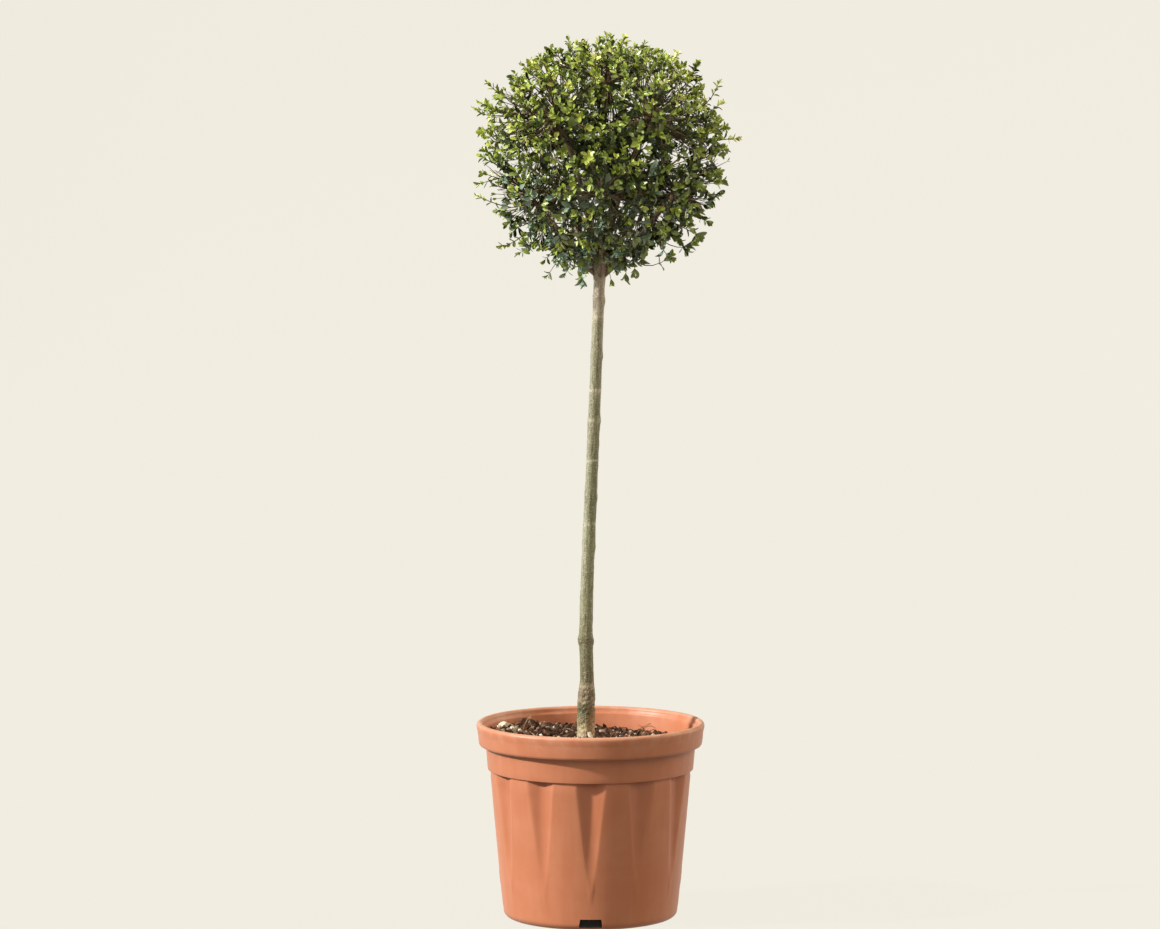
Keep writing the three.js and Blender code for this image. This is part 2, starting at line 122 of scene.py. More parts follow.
def wrapped(angles, spacing=2 * np.pi):
    # how far each angle is from the nearest multiple of `spacing`, with its sign
    return (angles + spacing / 2) % spacing - spacing / 2


def spun(radius, angle, height):
    # points at (radius cos angle, radius sin angle, height)
    return np.stack(np.broadcast_arrays(radius * np.cos(angle), radius * np.sin(angle), height), -1)


def arc(across, up, radius, start, end, steps):
    # (across + radius cos angle, up + radius sin angle), between two angles in degrees
    turn = np.radians(np.linspace(start, end, steps))
    return np.stack([across + radius * np.cos(turn), up + radius * np.sin(turn)], -1)


def metres(lengths):
    # lengths in millimetres made metres
    return [length * mm for length in lengths]


def unit(vectors):
    # each vector made one long
    return vectors / np.linalg.norm(vectors, axis=-1, keepdims=True)


def smoothStep(value, low, high):
    # 0 below low, 1 above high, and 3t^2 - 2t^3 between
    t = np.clip((value - low) / (high - low), 0, 1)
    return t * t * (3 - 2 * t)


def bell(distance, halfWidth):
    # exp(-(distance / halfWidth)^2)
    return np.exp(-((distance / halfWidth) ** 2))


def curvePoint(start, bend, end, t):
    # a point on a curve with one bend: (1-t)^2 start + 2t(1-t) bend + t^2 end
    return (1 - t) ** 2 * start + 2 * t * (1 - t) * bend + t ** 2 * end


def curveWay(start, bend, end, t):
    # the way such a curve runs at t: (1-t)(bend - start) + t(end - bend)
    return (1 - t) * (bend - start) + t * (end - bend)


def ripple(points, size, seed, waves=24):
    # a smooth random field: the sum of sines along random directions, each wave about `size` long
    dice = np.random.default_rng(seed)
    ways = unit(dice.normal(size=(waves, 3))) * dice.uniform(0.7, 1.4, (waves, 1)) * 2 * np.pi / size
    phases = dice.uniform(0, 2 * np.pi, waves)
    return np.sin(points @ ways.T + phases).sum(-1) * math.sqrt(2 / waves)


# Materials
def paint(red, green, blue):
    # a colour as a picture shows it, 0 to 255, made linear: (value / 255)^2.2
    return tuple((c / 255) ** 2.2 for c in (red, green, blue)) + (1.0,)


class Signal:
    # an output of a node, so that sums on it read as sums and add Math nodes
    def __init__(self, finish, socket):
        self.finish = finish
        self.socket = socket

    def math(self, operation, *values):
        return self.finish.node("ShaderNodeMath", {"operation": operation}, dict(enumerate(values)))

    def __add__(self, other):
        return self.math("ADD", self, other)

    def __sub__(self, other):
        return self.math("SUBTRACT", self, other)

    def __rsub__(self, other):
        return self.math("SUBTRACT", other, self)

    def __mul__(self, other):
        return self.math("MULTIPLY", self, other)

    __radd__ = __add__
    __rmul__ = __mul__


class Finish:
    # one material: node() adds any node with its settings first and then its sockets
    def __init__(self, name):
        self.material = bpy.data.materials.new(name)
        self.material.use_nodes = True
        self.tree = self.material.node_tree
        self.tree.nodes.clear()

    def node(self, kind, settings=None, sockets=None, output=0):
        made = self.tree.nodes.new(kind)
        for key, value in (settings or {}).items():
            if key == "stops":
                self.setStops(made.color_ramp, value)
            else:
                setattr(made, key, value)
        for key, value in (sockets or {}).items():
            if isinstance(value, Signal):
                self.tree.links.new(value.socket, made.inputs[key])
            else:
                made.inputs[key].default_value = value
        return Signal(self, made.outputs[output]) if made.outputs else made

    def setStops(self, ramp, stops):
        # colours at places from 0 to 1 along a colour ramp
        while len(ramp.elements) < len(stops):
            ramp.elements.new(1)
        for element, (place, colour) in zip(ramp.elements, stops):
            element.position = place
            element.color = colour

    def place(self):
        # object coordinates in metres
        return self.node("ShaderNodeTexCoord", output="Object")

    def axis(self, number):
        # one of them: 0 for x, 1 for y, 2 for z
        return self.node("ShaderNodeSeparateXYZ", {}, {0: self.place()}, number)

    def stretched(self, scale):
        # the same times a number for each axis
        return self.node("ShaderNodeMapping", {}, {"Vector": self.place(), "Scale": scale})

    def noise(self, scale, detail=3.0, roughness=0.55, where=None):
        # a cloudy pattern from 0 to 1, with `scale` clouds to the metre
        return self.node("ShaderNodeTexNoise", {}, {
            "Vector": where or self.place(), "Scale": scale, "Detail": detail, "Roughness": roughness})

    def ramp(self, factor, stops):
        # the colour at a place from 0 to 1 along the stops
        return self.node("ShaderNodeValToRGB", {"stops": stops}, {"Fac": factor})

    def mask(self, factor, low, high):
        # 0 below low and 1 above high, or the other way round when low is the larger
        sockets = {"Value": factor, "From Min": low, "From Max": high}
        return self.node("ShaderNodeMapRange", {"interpolation_type": "SMOOTHSTEP"}, sockets)

    def mix(self, factor, first, second):
        # first (1 - factor) + second factor
        return self.node("ShaderNodeMix", {"data_type": "RGBA"}, {0: factor, 6: first, 7: second}, 2)

    def bump(self, height, depth):
        # depth is the relief's real height in millimetres
        return self.node("ShaderNodeBump", {}, {"Height": height, "Distance": depth * mm})

    def surface(self, sockets):
        # the material, once its shader has these values or patterns
        shader = self.node("ShaderNodeBsdfPrincipled", {}, sockets)
        self.node("ShaderNodeOutputMaterial", {}, {"Surface": shader})
        return self.material


# Pot
pot = {
    "rimRadius": 150, "height": 258, "skirtBottom": 228, "skirtRadius": 147, "lipRadius": 4.5,
    "collarBottom": 196, "collarTopRadius": 141, "collarRadius": 138, "collarFootRadius": 135.3,
    "bodyTopRadius": 133.3, "bodyFootRadius": 115.2, "cornerRadius": 10, "wall": 3,
    "flutes": 12, "fluteBottom": 34, "fluteHalfAngle": 8.6, "fluteDepth": 8.8, "fluteSwell": 0.82,
    "creaseRounding": 1.6,  # how blunt the bed of a flute is
    "undercut": (2.2, 5, 0.4),  # extra depth under the collar, its height, and its share between flutes
    "notches": 4, "notchHeight": 15.5, "notchReach": 100, "notchHalfAngle": 8.25, "notchLean": 0.17,
    "notchEase": (10, 17, 44),  # degrees from which and to which its lean fades, and the height to which
    "edge": 0.9, "skirtEdge": (1.4, 2.6), "skirtFlare": 1.6,  # rounding of the moulded edges
    "columns": 480, "longestStep": 7, "sharpAngle": 50,
    "light": paint(200, 129, 97), "dark": paint(193, 119, 86), "roughness": 0.42, "specular": 0.38,
    # heights between which the dust sets in on the collar, and a painted sheen on the lip
    "dustAndSheen": paint(212, 166, 142), "dusty": (226, 262), "lipPaintedSheen": (253.5, 257.5), "dustAndSheenWeight": 0.45,
    # depths in the flutes, and heights under the collar, between which the darker tone of painted shade sets
    # in
    "groove": paint(150, 82, 52), "grooveShadeDepth": (0.3, 2.4), "grooveTop": (196, 194), "grooveShadeWeight": 0.2,
    "scuffs": (0.63, 0.8), "scuffWeight": 0.25, "relief": 0.12,
}


def bodyRadius(height):
    # a straight line from the foot's radius to the radius under the collar
    share = (height - pot["cornerRadius"]) / (pot["collarBottom"] - pot["cornerRadius"])
    return pot["bodyFootRadius"] + (pot["bodyTopRadius"] - pot["bodyFootRadius"]) * share


def rounded(corners, size, steps=4):
    # a path through corners, each replaced by a curve with one bend between points close by
    corners = np.asarray(corners, float)
    before = unit(corners[:-2] - corners[1:-1])
    after = unit(corners[2:] - corners[1:-1])
    spans = np.linalg.norm(np.diff(corners, axis=0), axis=1)
    reach = np.minimum(size, 0.45 * np.minimum(spans[:-1], spans[1:]))[:, None]
    a, b, c = corners[1:-1] + before * reach, corners[1:-1] + after * reach, corners[1:-1]
    t = np.linspace(0, 1, steps)[None, :, None]
    curve = curvePoint(a[:, None], c[:, None], b[:, None], t)
    return np.concatenate([corners[:1], curve.reshape(-1, 2), corners[-1:]])


def filled(path, longest):
    # the same path with points added so that no step is longer than `longest`
    steps = np.maximum(1, np.ceil(np.linalg.norm(np.diff(path, axis=0), axis=1) / longest)).astype(int)
    parts = [a + (b - a) * np.arange(n)[:, None] / n for a, b, n in zip(path[:-1], path[1:], steps)]
    return np.concatenate(parts + [path[-1:]])


def footPath(inset):
    # from the floor out to the notch's depth, round the corner and up to the notch's top
    size, top = pot["cornerRadius"], pot["notchHeight"]
    return np.concatenate([
        [[pot["notchReach"] / 2, inset], [pot["notchReach"], inset]],
        arc(pot["bodyFootRadius"] - size, size, size - inset, -90, 0, 9),
        [[bodyRadius(top) - inset, top]],
    ])


def fluteInset(angle, height):
    # a V-shaped groove with a blunt bed: depth (1 - |offset| / half), where half goes as the share of the
    # way up from the flute's lower end to the power fluteSwell; it is deeper right under the collar
    offset = np.abs(wrapped(angle - front, 2 * np.pi / pot["flutes"]))
    share = np.clip((height - pot["fluteBottom"]) / (pot["collarBottom"] - pot["fluteBottom"]), 0, 1)
    half = math.radians(pot["fluteHalfAngle"]) * np.maximum(share, 1e-6) ** pot["fluteSwell"]
    side = np.clip(1 - offset / half, 0, 1)
    soft = pot["creaseRounding"] / np.maximum(pot["fluteDepth"] * share, 1)
    blunt = np.where(side > 1 - 2 * soft, 1 - soft - (1 - side) ** 2 / (4 * soft + 1e-9), side)
    more, length, least = pot["undercut"]
    deeper = more * smoothStep(height, pot["collarBottom"] - length, pot["collarBottom"] - 1)
    deeper = deeper * (least + (1 - least) * np.sqrt(side))
    return pot["fluteDepth"] * share * np.where(side > 0, np.minimum(blunt, side), 0) + deeper


def notchAngles(angles, heights):
    # columns beside a notch lean together with height, so that the notch is narrower at its top
    first, last, top = pot["notchEase"]
    offset = wrapped(angles - front, 2 * np.pi / pot["notches"])
    near = 1 - smoothStep(np.abs(np.degrees(offset)), first, last)
    rise = np.clip(heights / pot["notchHeight"], 0, 1) * (1 - smoothStep(heights, pot["notchHeight"], top))
    return angles - offset * pot["notchLean"] * near * rise


def notchWalls(hole, outer, inner):
    # quads from the outer to the inner sheet along each edge between a kept quad and a removed one
    width = hole.shape[1]
    none = np.zeros((1, width), bool)
    before, upper, lower = np.roll(hole, 1, 1), np.concatenate([hole, none]), np.concatenate([none, hole])
    walls = []
    for edge, up, turned in ((hole & ~before, 1, True), (~hole & before, 1, False),
                             (upper & ~lower, 0, False), (lower & ~upper, 0, True)):
        row, column = np.nonzero(edge)
        nextRow, nextColumn = row + up, (column + 1 - up) % width
        quad = np.stack([outer[row, column], outer[nextRow, nextColumn],
                         inner[nextRow, nextColumn], inner[row, column]], -1)
        walls.append(quad[:, ::-1] if turned else quad)
    return np.concatenate(walls)


def potProfile():
    # radius and height from the underside, up the outside, over the lip, down the inside to the floor
    wall, lip, groove = pot["wall"], pot["lipRadius"], pot["height"] - 2 * pot["lipRadius"]
    outerFoot, innerFoot = footPath(0), footPath(wall)[::-1]
    top, skirt, bottom = pot["height"] - lip, pot["skirtRadius"], pot["skirtBottom"]
    edgeIn, edgeUp = pot["skirtEdge"]
    upper = rounded([
        outerFoot[-1],
        [pot["bodyTopRadius"], pot["collarBottom"]],
        [pot["collarFootRadius"], pot["collarBottom"]],
        [pot["collarRadius"], bottom],
        [pot["collarTopRadius"], groove],
        [skirt - wall, groove],
        [skirt - wall, bottom],
        [skirt - edgeIn, bottom],
        [skirt, bottom + edgeUp],
        [skirt + pot["skirtFlare"], groove - wall],
        [pot["rimRadius"], top - 1],
    ], pot["edge"])
    lipCurve = arc(pot["rimRadius"] - lip, top, lip, 10, 170, 9)
    lower = rounded([
        [pot["rimRadius"] - 2 * lip, top - 1],
        [pot["collarTopRadius"] - wall, groove],
        [pot["collarRadius"] - wall, bottom],
        [pot["collarFootRadius"] - wall, pot["collarBottom"] + wall],
        [pot["bodyTopRadius"] - wall, pot["collarBottom"] + wall],
        innerFoot[0],
    ], pot["edge"])
    middle = filled(np.concatenate([upper, lipCurve, lower]), pot["longestStep"])
    return np.concatenate([outerFoot[:-1], middle, innerFoot[1:]]), len(outerFoot)


def wallPoints(profile, angles):
    # a profile turned round the axis, with the flutes pressed into what lies under the collar
    radius, height = profile[:, :1], profile[:, 1:]
    turned = notchAngles(np.broadcast_to(angles, (len(profile), len(angles))), height)
    pressed = (height <= pot["collarBottom"] + pot["wall"]) & (radius <= pot["bodyTopRadius"] + 0.01)
    radius = radius - np.where(pressed, fluteInset(turned, height), 0)
    return spun(radius, turned, height)


def makePot():
    # the profile turned about the axis, closed at the foot and at the floor; the quads of the notches are
    # left out of both sheets, and walls between the sheets close their edges
    profile, footRows = potProfile()
    columns = pot["columns"]
    angles = around(columns) + front
    points, quads, fans = closedTube(wallPoints(profile, angles), [[0, 0, 0], [0, 0, pot["wall"]]])
    offset = np.abs(wrapped(angles + np.pi / columns - front, 2 * np.pi / pot["notches"]))
    hole = np.zeros((footRows - 1, columns), bool)
    hole[1:] = offset < math.radians(pot["notchHalfAngle"])
    kept = np.ones(quads.shape[:2], bool)
    kept[: footRows - 1] = ~hole
    kept[-(footRows - 1):] = ~hole[::-1]
    numbers = np.arange(len(profile) * columns).reshape(len(profile), columns)
    walls = notchWalls(hole, numbers[:footRows], numbers[::-1][:footRows])
    piece = makePiece("plastic_pot", points, [quads[kept], walls, fans], potFinish(), ["pot"])
    piece.data.set_sharp_from_angle(angle=math.radians(pot["sharpAngle"]))


def potFinish():
    # moulded plastic: soft mottling, faint upright flow marks, dust on the lip with a painted sheen over it,
    # painted shade down in the flutes, where the surface lies inside the body's cone
    finish = Finish("terracottaPlastic")
    mottling = finish.noise(26.0, 4.0)
    flow = finish.noise(1.0, 3.0, 0.5, finish.stretched((70, 70, 5)))
    grain = finish.noise(900.0, 2.0)
    colour = finish.mix(finish.mask(mottling * 0.6 + flow * 0.4, 0.35, 0.68), pot["dark"], pot["light"])
    across, deep, height = (finish.axis(k) for k in range(3))
    # dust, plus a painted sheen along the lip, both mixed toward the pale dust colour
    dusty = finish.mask(height, *metres(pot["dusty"])) * finish.mask(finish.noise(60.0, 5.0), 0.42, 0.75)
    dusty = (dusty + finish.mask(height, *metres(pot["lipPaintedSheen"]))) * pot["dustAndSheenWeight"]
    # painted shade: darker down in the flutes and under the collar, where the surface lies inside the body's
    # cone
    radius = height.math("SQRT", across * across + deep * deep)
    slope = (pot["bodyTopRadius"] - pot["bodyFootRadius"]) / (pot["collarBottom"] - pot["cornerRadius"])
    sunk = height * slope + (pot["bodyFootRadius"] - pot["cornerRadius"] * slope) * mm - radius
    grooveShadeMask = finish.mask(sunk, *metres(pot["grooveShadeDepth"])) * finish.mask(height, *metres(pot["grooveTop"]))
    colour = finish.mix(grooveShadeMask * pot["grooveShadeWeight"], colour, pot["groove"])
    scuffed = finish.mask(finish.noise(140.0, 4.0, 0.7), *pot["scuffs"]) * pot["scuffWeight"]
    colour = finish.mix(dusty + scuffed, colour, pot["dustAndSheen"])
    return finish.surface({
        "Base Color": colour,
        "Roughness": mottling * 0.12 + scuffed * 0.5 + (pot["roughness"] - 0.06),
        "Specular IOR Level": pot["specular"],
        "Normal": finish.bump(grain * 0.3 + flow * 0.7, pot["relief"]),
    })


print("pot")
makePot()

# Compost
compost = {
    "level": 235, "slope": 0.06, "drop": 3.5, "flatRadius": 32, "easeRadius": 60,
    "humps": [(2.2, 19, 23), (1.3, 9, 11)],  # height, and reach across and deep
    "pile": 6, "pileWay": 160,  # a bank against the wall: its height, and its direction in degrees
    "pileReach": (70, 132), "pileSides": (0.4, 0.95),  # radii and cosines between which it rises
    # the bed: its gap to the pot, underside, the top of its side, how much wider its top's edge is
    "clearance": 0.35, "floor": 3.4, "wallTop": 222, "over": 1.2, "topRings": 64, "innermost": 0.03,
    "columns": 240, "longestStep": 14,
    "sunk": 3.0, "lumps": [(1.3, 13, 3), (0.7, 5, 4)],  # of the bed under the crumbs: height, size, seed
    # crumbs: how many, how far out, the wall, the clear ring round the stem, how high they stand
    "crumbs": 2200, "crumbRadius": 131, "inside": 133.4, "clearing": 14, "stand": (-3.6, 0.2),
    "sizeVary": (0.3, -0.6, 0.5),  # spread and limits of the logarithm of their size
    "dents": (0.72, 1.2), "crumbShape": (1, 1, 0.75), "splinterShape": (1.9, 0.85, 0.42), "splinters": 0.3,
    "chips": [  # pale pieces that lie on top: place, size, how high they lie
        (-115, 34, 7.6, 4.5), (-93, 20, 4.6, 4.5), (-64, 18, 4.2, 4.5), (-0.5, -16, 4.8, 6.5),
        (-120, 4, 3.6, 4.5), (-104, 6, 3.4, 4.5), (60, 30, 2.8, 4), (84, 66, 3.2, 4), (-20, -80, 3.4, 4.5),
        (-17, -17, 2.4, 4.5), (12, -20, 2.2, 4), (-42, -6, 2.6, 4), (34, -4, 2.2, 4),
    ],
    "bedTones": ((40, 27, 20), (82, 58, 44)), "rootletTones": ((150, 104, 74), (216, 182, 150)),
    # painted shade near black at the bed's foot, where it shows through the notches
    "paintedFootShade": paint(14, 10, 8), "paintedFootShadeBelow": (50, 20), "relief": 0.5,  # heights between which it sets in
    "rootlets": 20, "rootletRadius": (0.7, 0.35), "rootletReach": 125, "rootletLength": (8, 24),
    "rootletBend": 3, "rootletRises": ((4, 11), (0, 9)), "rootletRows": 9,
    "curls": [  # rootlets that stand up from it: start, bend, end
        ((-88, 30, 243), (-86, 28, 258), (-76, 30, 262)), ((-74, 34, 242), (-84, 34, 252), (-78, 32, 260)),
        ((64, 22, 234), (72, 18, 256), (86, 20, 246)), ((70, 30, 233), (86, 28, 252), (92, 30, 234)),
        ((58, 20, 235), (66, 24, 248), (80, 22, 252)), ((78, 16, 232), (74, 20, 244), (64, 22, 250)),
    ],
}
kinds = [  # name, share of the crumbs, size, colours of dark and light parts
    ("crumbs_black", 0.46, 4.6, (40, 26, 18), (84, 58, 44)),
    ("crumbs_brown", 0.30, 4.2, (78, 52, 38), (128, 92, 70)),
    ("crumbs_grey", 0.17, 3.8, (112, 92, 78), (184, 164, 144)),
    ("crumbs_pale", 0.07, 2.7, (196, 176, 150), (244, 232, 212)),
]
stemFoot = np.array([-5.9, 0.0])


def groundHeight(x, y):
    # level + ease (humps - slope x - drop) + bank: ease goes from 0 round the stem to 1 away from it, and
    # the bank against the wall at the back left eases out inward and to both sides
    away = np.hypot(x - stemFoot[0], y - stemFoot[1])
    ease = smoothStep(away, compost["flatRadius"], compost["easeRadius"])
    rise = sum(h * np.sin(x / across + 1) * np.cos(y / deep) for h, across, deep in compost["humps"])
    side = np.cos(np.arctan2(y, x) - math.radians(compost["pileWay"]))
    bank = smoothStep(np.hypot(x, y), *compost["pileReach"]) * smoothStep(side, *compost["pileSides"])
    return compost["level"] + ease * (rise - compost["slope"] * x - compost["drop"]) + compost["pile"] * bank


def makeBed():
    # a solid that fills the pot's inside less a clearance, with a lumpy top under the crumbs
    columns, gap = compost["columns"], compost["clearance"]
    angles = around(columns) + front
    inner = potProfile()[0][::-1]
    inner = inner[inner[:, 1] > pot["wall"] + 0.01]
    inner = inner[: np.argmax(inner[:, 1] > compost["wallTop"])]
    # the underside from near the axis, then the side along the pot's inner wall
    wall = np.concatenate([[[40, 0], [inner[0, 0] - 2, 0]], inner])
    wall = filled(wall, compost["longestStep"]) - [gap, 0]
    wall[:, 1] = np.maximum(wall[:, 1], compost["floor"])
    sides = wallPoints(wall, angles)
    share = np.linspace(1, compost["innermost"], compost["topRings"])[:, None]
    edge = np.hypot(sides[-1, :, 0], sides[-1, :, 1]) + compost["over"]
    top = spun(share * edge, angles, 0.0)
    uneven = sum(rise * ripple(top, size, seed) for rise, size, seed in compost["lumps"])
    top[..., 2] = groundHeight(top[..., 0], top[..., 1]) + uneven - compost["sunk"]
    ends = [[0, 0, compost["floor"]], [0, 0, float(groundHeight(0.0, 0.0)) - compost["sunk"]]]
    points, quads, fans = closedTube(np.concatenate([sides, top]), ends)
    makePiece("compost_bed", points, [quads.reshape(-1, 4), fans],
              crumbFinish("compostBed", *compost["bedTones"]), ["soil"])


def crumbFinish(name, dark, light):
    # damp bark and peat: patches of two tones, painted shade near black at the foot, a crumbly relief
    finish = Finish(name)
    patches = finish.noise(160.0, 5.0, 0.65)
    tone = finish.mix(finish.mask(patches, 0.38, 0.66), paint(*dark), paint(*light))
    # painted shade at the foot
    paintedFootShade = finish.mask(finish.axis(2), *metres(compost["paintedFootShadeBelow"]))
    return finish.surface({
        "Base Color": finish.mix(paintedFootShade, tone, compost["paintedFootShade"]),
        "Roughness": patches * 0.3 + 0.66,
        "Specular IOR Level": 0.3,
        "Normal": finish.bump(finish.noise(1100.0, 3.0, 0.7), compost["relief"]),
    })


def solidTwenty():
    # the twelve corners and twenty faces of an icosahedron, worked out from the golden ratio
    gold = (1 + math.sqrt(5)) / 2
    short = np.array([[s, t * gold, 0] for s in (-1, 1) for t in (-1, 1)])
    corners = unit(np.concatenate([np.roll(short, k, axis=1) for k in range(3)]))
    gaps = np.linalg.norm(corners[:, None] - corners[None], axis=-1)
    near = (gaps > 0.1) & (gaps < 1.2)
    triples = np.array([(a, b, c) for a in range(12) for b in range(a) for c in range(b)
                        if near[a, b] and near[b, c] and near[a, c]])
    a, b, c = (corners[triples[:, k]] for k in range(3))
    inward = (np.cross(b - a, c - a) * a).sum(-1) < 0
    triples[inward] = triples[inward][:, ::-1]
    return corners, triples


def turnedAbout(axes, angles, vectors):
    # vectors v turned by t about axes k: v cos t + (k x v) sin t + k (k.v)(1 - cos t)
    cosine, sine = np.cos(angles)[..., None], np.sin(angles)[..., None]
    along = (axes * vectors).sum(-1, keepdims=True)
    return vectors * cosine + np.cross(axes, vectors) * sine + axes * along * (1 - cosine)


def makeCrumbs(name, share, size, dark, light, seed):
    # each crumb is a squashed, dented icosahedron; the splinters of bark among them are longer and flatter
    dice = np.random.default_rng(seed)
    corners, faces = solidTwenty()
    count = int(compost["crumbs"] * share)
    radius = compost["crumbRadius"] * np.sqrt(dice.random(count))
    angle = dice.uniform(0, 2 * np.pi, count)
    x, y = radius * np.cos(angle), radius * np.sin(angle)
    clear = np.hypot(x - stemFoot[0], y - stemFoot[1]) > compost["clearing"]
    placed = np.array(compost["chips"] if name == "crumbs_pale" else []).reshape(-1, 4)
    x, y = np.append(x[clear], placed[:, 0]), np.append(y[clear], placed[:, 1])
    count = len(x)
    spread, *limits = compost["sizeVary"]
    sizes = size * np.exp(np.clip(dice.normal(0, spread, count), *limits))
    sizes[count - len(placed):] = placed[:, 2]
    splinter = dice.random(count)[:, None] < compost["splinters"]
    scale = np.where(splinter, compost["splinterShape"], compost["crumbShape"]) * sizes[:, None]
    shape = corners[None] * dice.uniform(*compost["dents"], (count, 12, 1)) * scale[:, None]
    axes = unit(dice.normal(size=(count, 1, 3)))
    shape = turnedAbout(axes, dice.uniform(0, np.pi, (count, 1)), shape)
    height = groundHeight(x, y) + dice.uniform(*compost["stand"], count)
    height[count - len(placed):] += placed[:, 3]
    middle = np.stack([x, y, height], -1)
    points = (shape + middle[:, None]).reshape(-1, 3)
    points[:, :2] *= np.minimum(1, compost["inside"] / np.hypot(points[:, 0], points[:, 1]))[:, None]
    makePiece(name, points, [repeated(faces, count, 12)], crumbFinish(name, dark, light), ["soil"],
              smooth=False)


def tubes(paths, radii, sides):
    # paths is (count, rows, 3): a ring of points across the path at each row, as its radius goes evenly
    # from the first value to the last
    count, rows = paths.shape[:2]
    radii = np.linspace(*radii, rows)[None]
    along = unit(np.gradient(paths, axis=1))
    whole = unit(paths[:, -1] - paths[:, 0])
    level = np.abs(whole[:, 2:]) < 0.8
    helper = np.where(level, [[0.0, 0.0, 1.0]], [[1.0, 0.0, 0.0]])[:, None]
    side = unit(np.cross(helper, along))
    other = np.cross(along, side)
    turn = around(sides)
    rings = (paths[:, :, None] + radii[:, :, None, None] * (
        side[:, :, None] * np.cos(turn)[:, None] + other[:, :, None] * np.sin(turn)[:, None]))
    _, quads, fans = closedTube(rings[0], [paths[0, 0], paths[0, -1]])
    points = np.concatenate([rings.reshape(count, -1, 3), paths[:, :1], paths[:, -1:]], axis=1)
    stride = rows * sides + 2
    return points, [repeated(quads.reshape(-1, 4), count, stride), repeated(fans, count, stride)]


def curved(start, bend, end, rows):
    # such a curve, at even steps of t, for each row of three arrays of points
    return curvePoint(start[:, None], bend[:, None], end[:, None], np.linspace(0, 1, rows)[None, :, None])


def makeRootlets():
    # thin dry roots that lie on the compost and curl up from it, most of them near the wall
    dice = np.random.default_rng(31)
    count = compost["rootlets"]
    radius = compost["rootletReach"] * np.sqrt(dice.uniform(0.2, 1, count))
    angle = dice.uniform(0, 2 * np.pi, count)
    start = spun(radius, angle, 0.0)
    way = dice.uniform(0, 2 * np.pi, count)
    end = start + spun(dice.uniform(*compost["rootletLength"], count), way, 0.0)
    end *= np.minimum(1, compost["crumbRadius"] / np.hypot(end[:, 0], end[:, 1]))[:, None]
    bend = (start + end) / 2
    bend[:, :2] += dice.normal(0, compost["rootletBend"], (count, 2))
    first, last = compost["rootletRises"]
    for points, rise in (start, 0), (bend, dice.uniform(*first, count)), (end, dice.uniform(*last, count)):
        points[:, 2] = groundHeight(points[:, 0], points[:, 1]) + rise
    curls = np.array(compost["curls"], float).transpose(1, 0, 2)
    paths = curved(*np.concatenate([[start, bend, end], curls], axis=1), compost["rootletRows"])
    points, faces = tubes(paths, compost["rootletRadius"], 5)
    finish = crumbFinish("rootlets", *compost["rootletTones"])
    makePiece("rootlets", points, faces, finish, ["soil"])


print("compost")
makeBed()
for number, kind in enumerate(kinds):
    makeCrumbs(*kind, 40 + number)
makeRootlets()

# Stem
stem = {
    "fork": (12.5, 3.0, 862.0), "straightTo": 390, "sway": 4, "bottom": 235.3,
    "footRadius": 11.4, "lowRadius": 8.9, "highRadius": 7.0, "footTop": 303, "footEase": 13,
    "knuckles": [367, 497, 560, 652, 740, 812], "swell": 0.4,
    "halfHeight": 10, "headRadius": 11.5, "headHalfHeight": 17, "rows": 620, "sides": 56,
    "kink": (1.7, 318, 34),  # the stem stands this far to the right, round this height, over this length
    "scars": [  # height, angle, how far it stands out, size
        (365, -10, 1.5, 5.0), (366, 185, 1.9, 5.5), (398, -110, 0.9, 3.0), (487, -12, 0.8, 4.5),
        (553, 5, 0.8, 4.5), (654, 0, 0.8, 4.0), (695, -120, 0.8, 4.0), (740, 8, 1.1, 4.5),
        (652, 188, 0.8, 3.0), (812, -4, 1.3, 5.0), (560, 120, 1.2, 5.0), (740, 95, 1.2, 4.5),
        (500, 80, 1.2, 5.0), (818, 150, 1.1, 5.0), (262, -150, 1.3, 6.0), (268, 40, 1.4, 7.0),
    ],
    "rings": [288, 307, 520, 603, 655, 695, 790],  # heights of the old pruning rings
    "ring": (0.22, 1.5, 1.2),  # how far they stand out, their half width, how much they waver
    "lenticels": 190, "lenticelsFrom": (300, 860),  # cork warts, and the heights between which they lie
    "lenticel": (0.3, 0.9, 1.7),  # how far they stand out, their half height and half width
    "markRadius": 9,  # of the stem, where the width of scars and warts is reckoned round it
    # the ridges' height, size and seed, on a cylinder of this radius, drawn out lengthwise
    "girth": 20, "drawnOut": 0.22, "ridges": [(0.16, 7, 7), (0.08, 2.4, 8)],
    "roughFoot": (0.22, 7, 9), "roughFootTop": (285, 330),  # the same at the foot, and where it fades
    "ragged": 7,  # how far the edges of the tones wander
    # two sides of painted light, the lit side paler and a warm bounce from the pot on the right of the foot,
    # each with its colour and weight, where it sets in beside the axis, and at which heights
    "bleached": (paint(210, 208, 194), 0.36), "bleachedFrom": (-1.5, -7.5), "bleachedHeight": (360, 480),
    "flank": (paint(180, 128, 92), 0.5), "flankFrom": (-2, 9), "flankHeight": (290, 270),
    "young": (paint(112, 88, 66), paint(166, 138, 110)), "relief": 0.5,
}


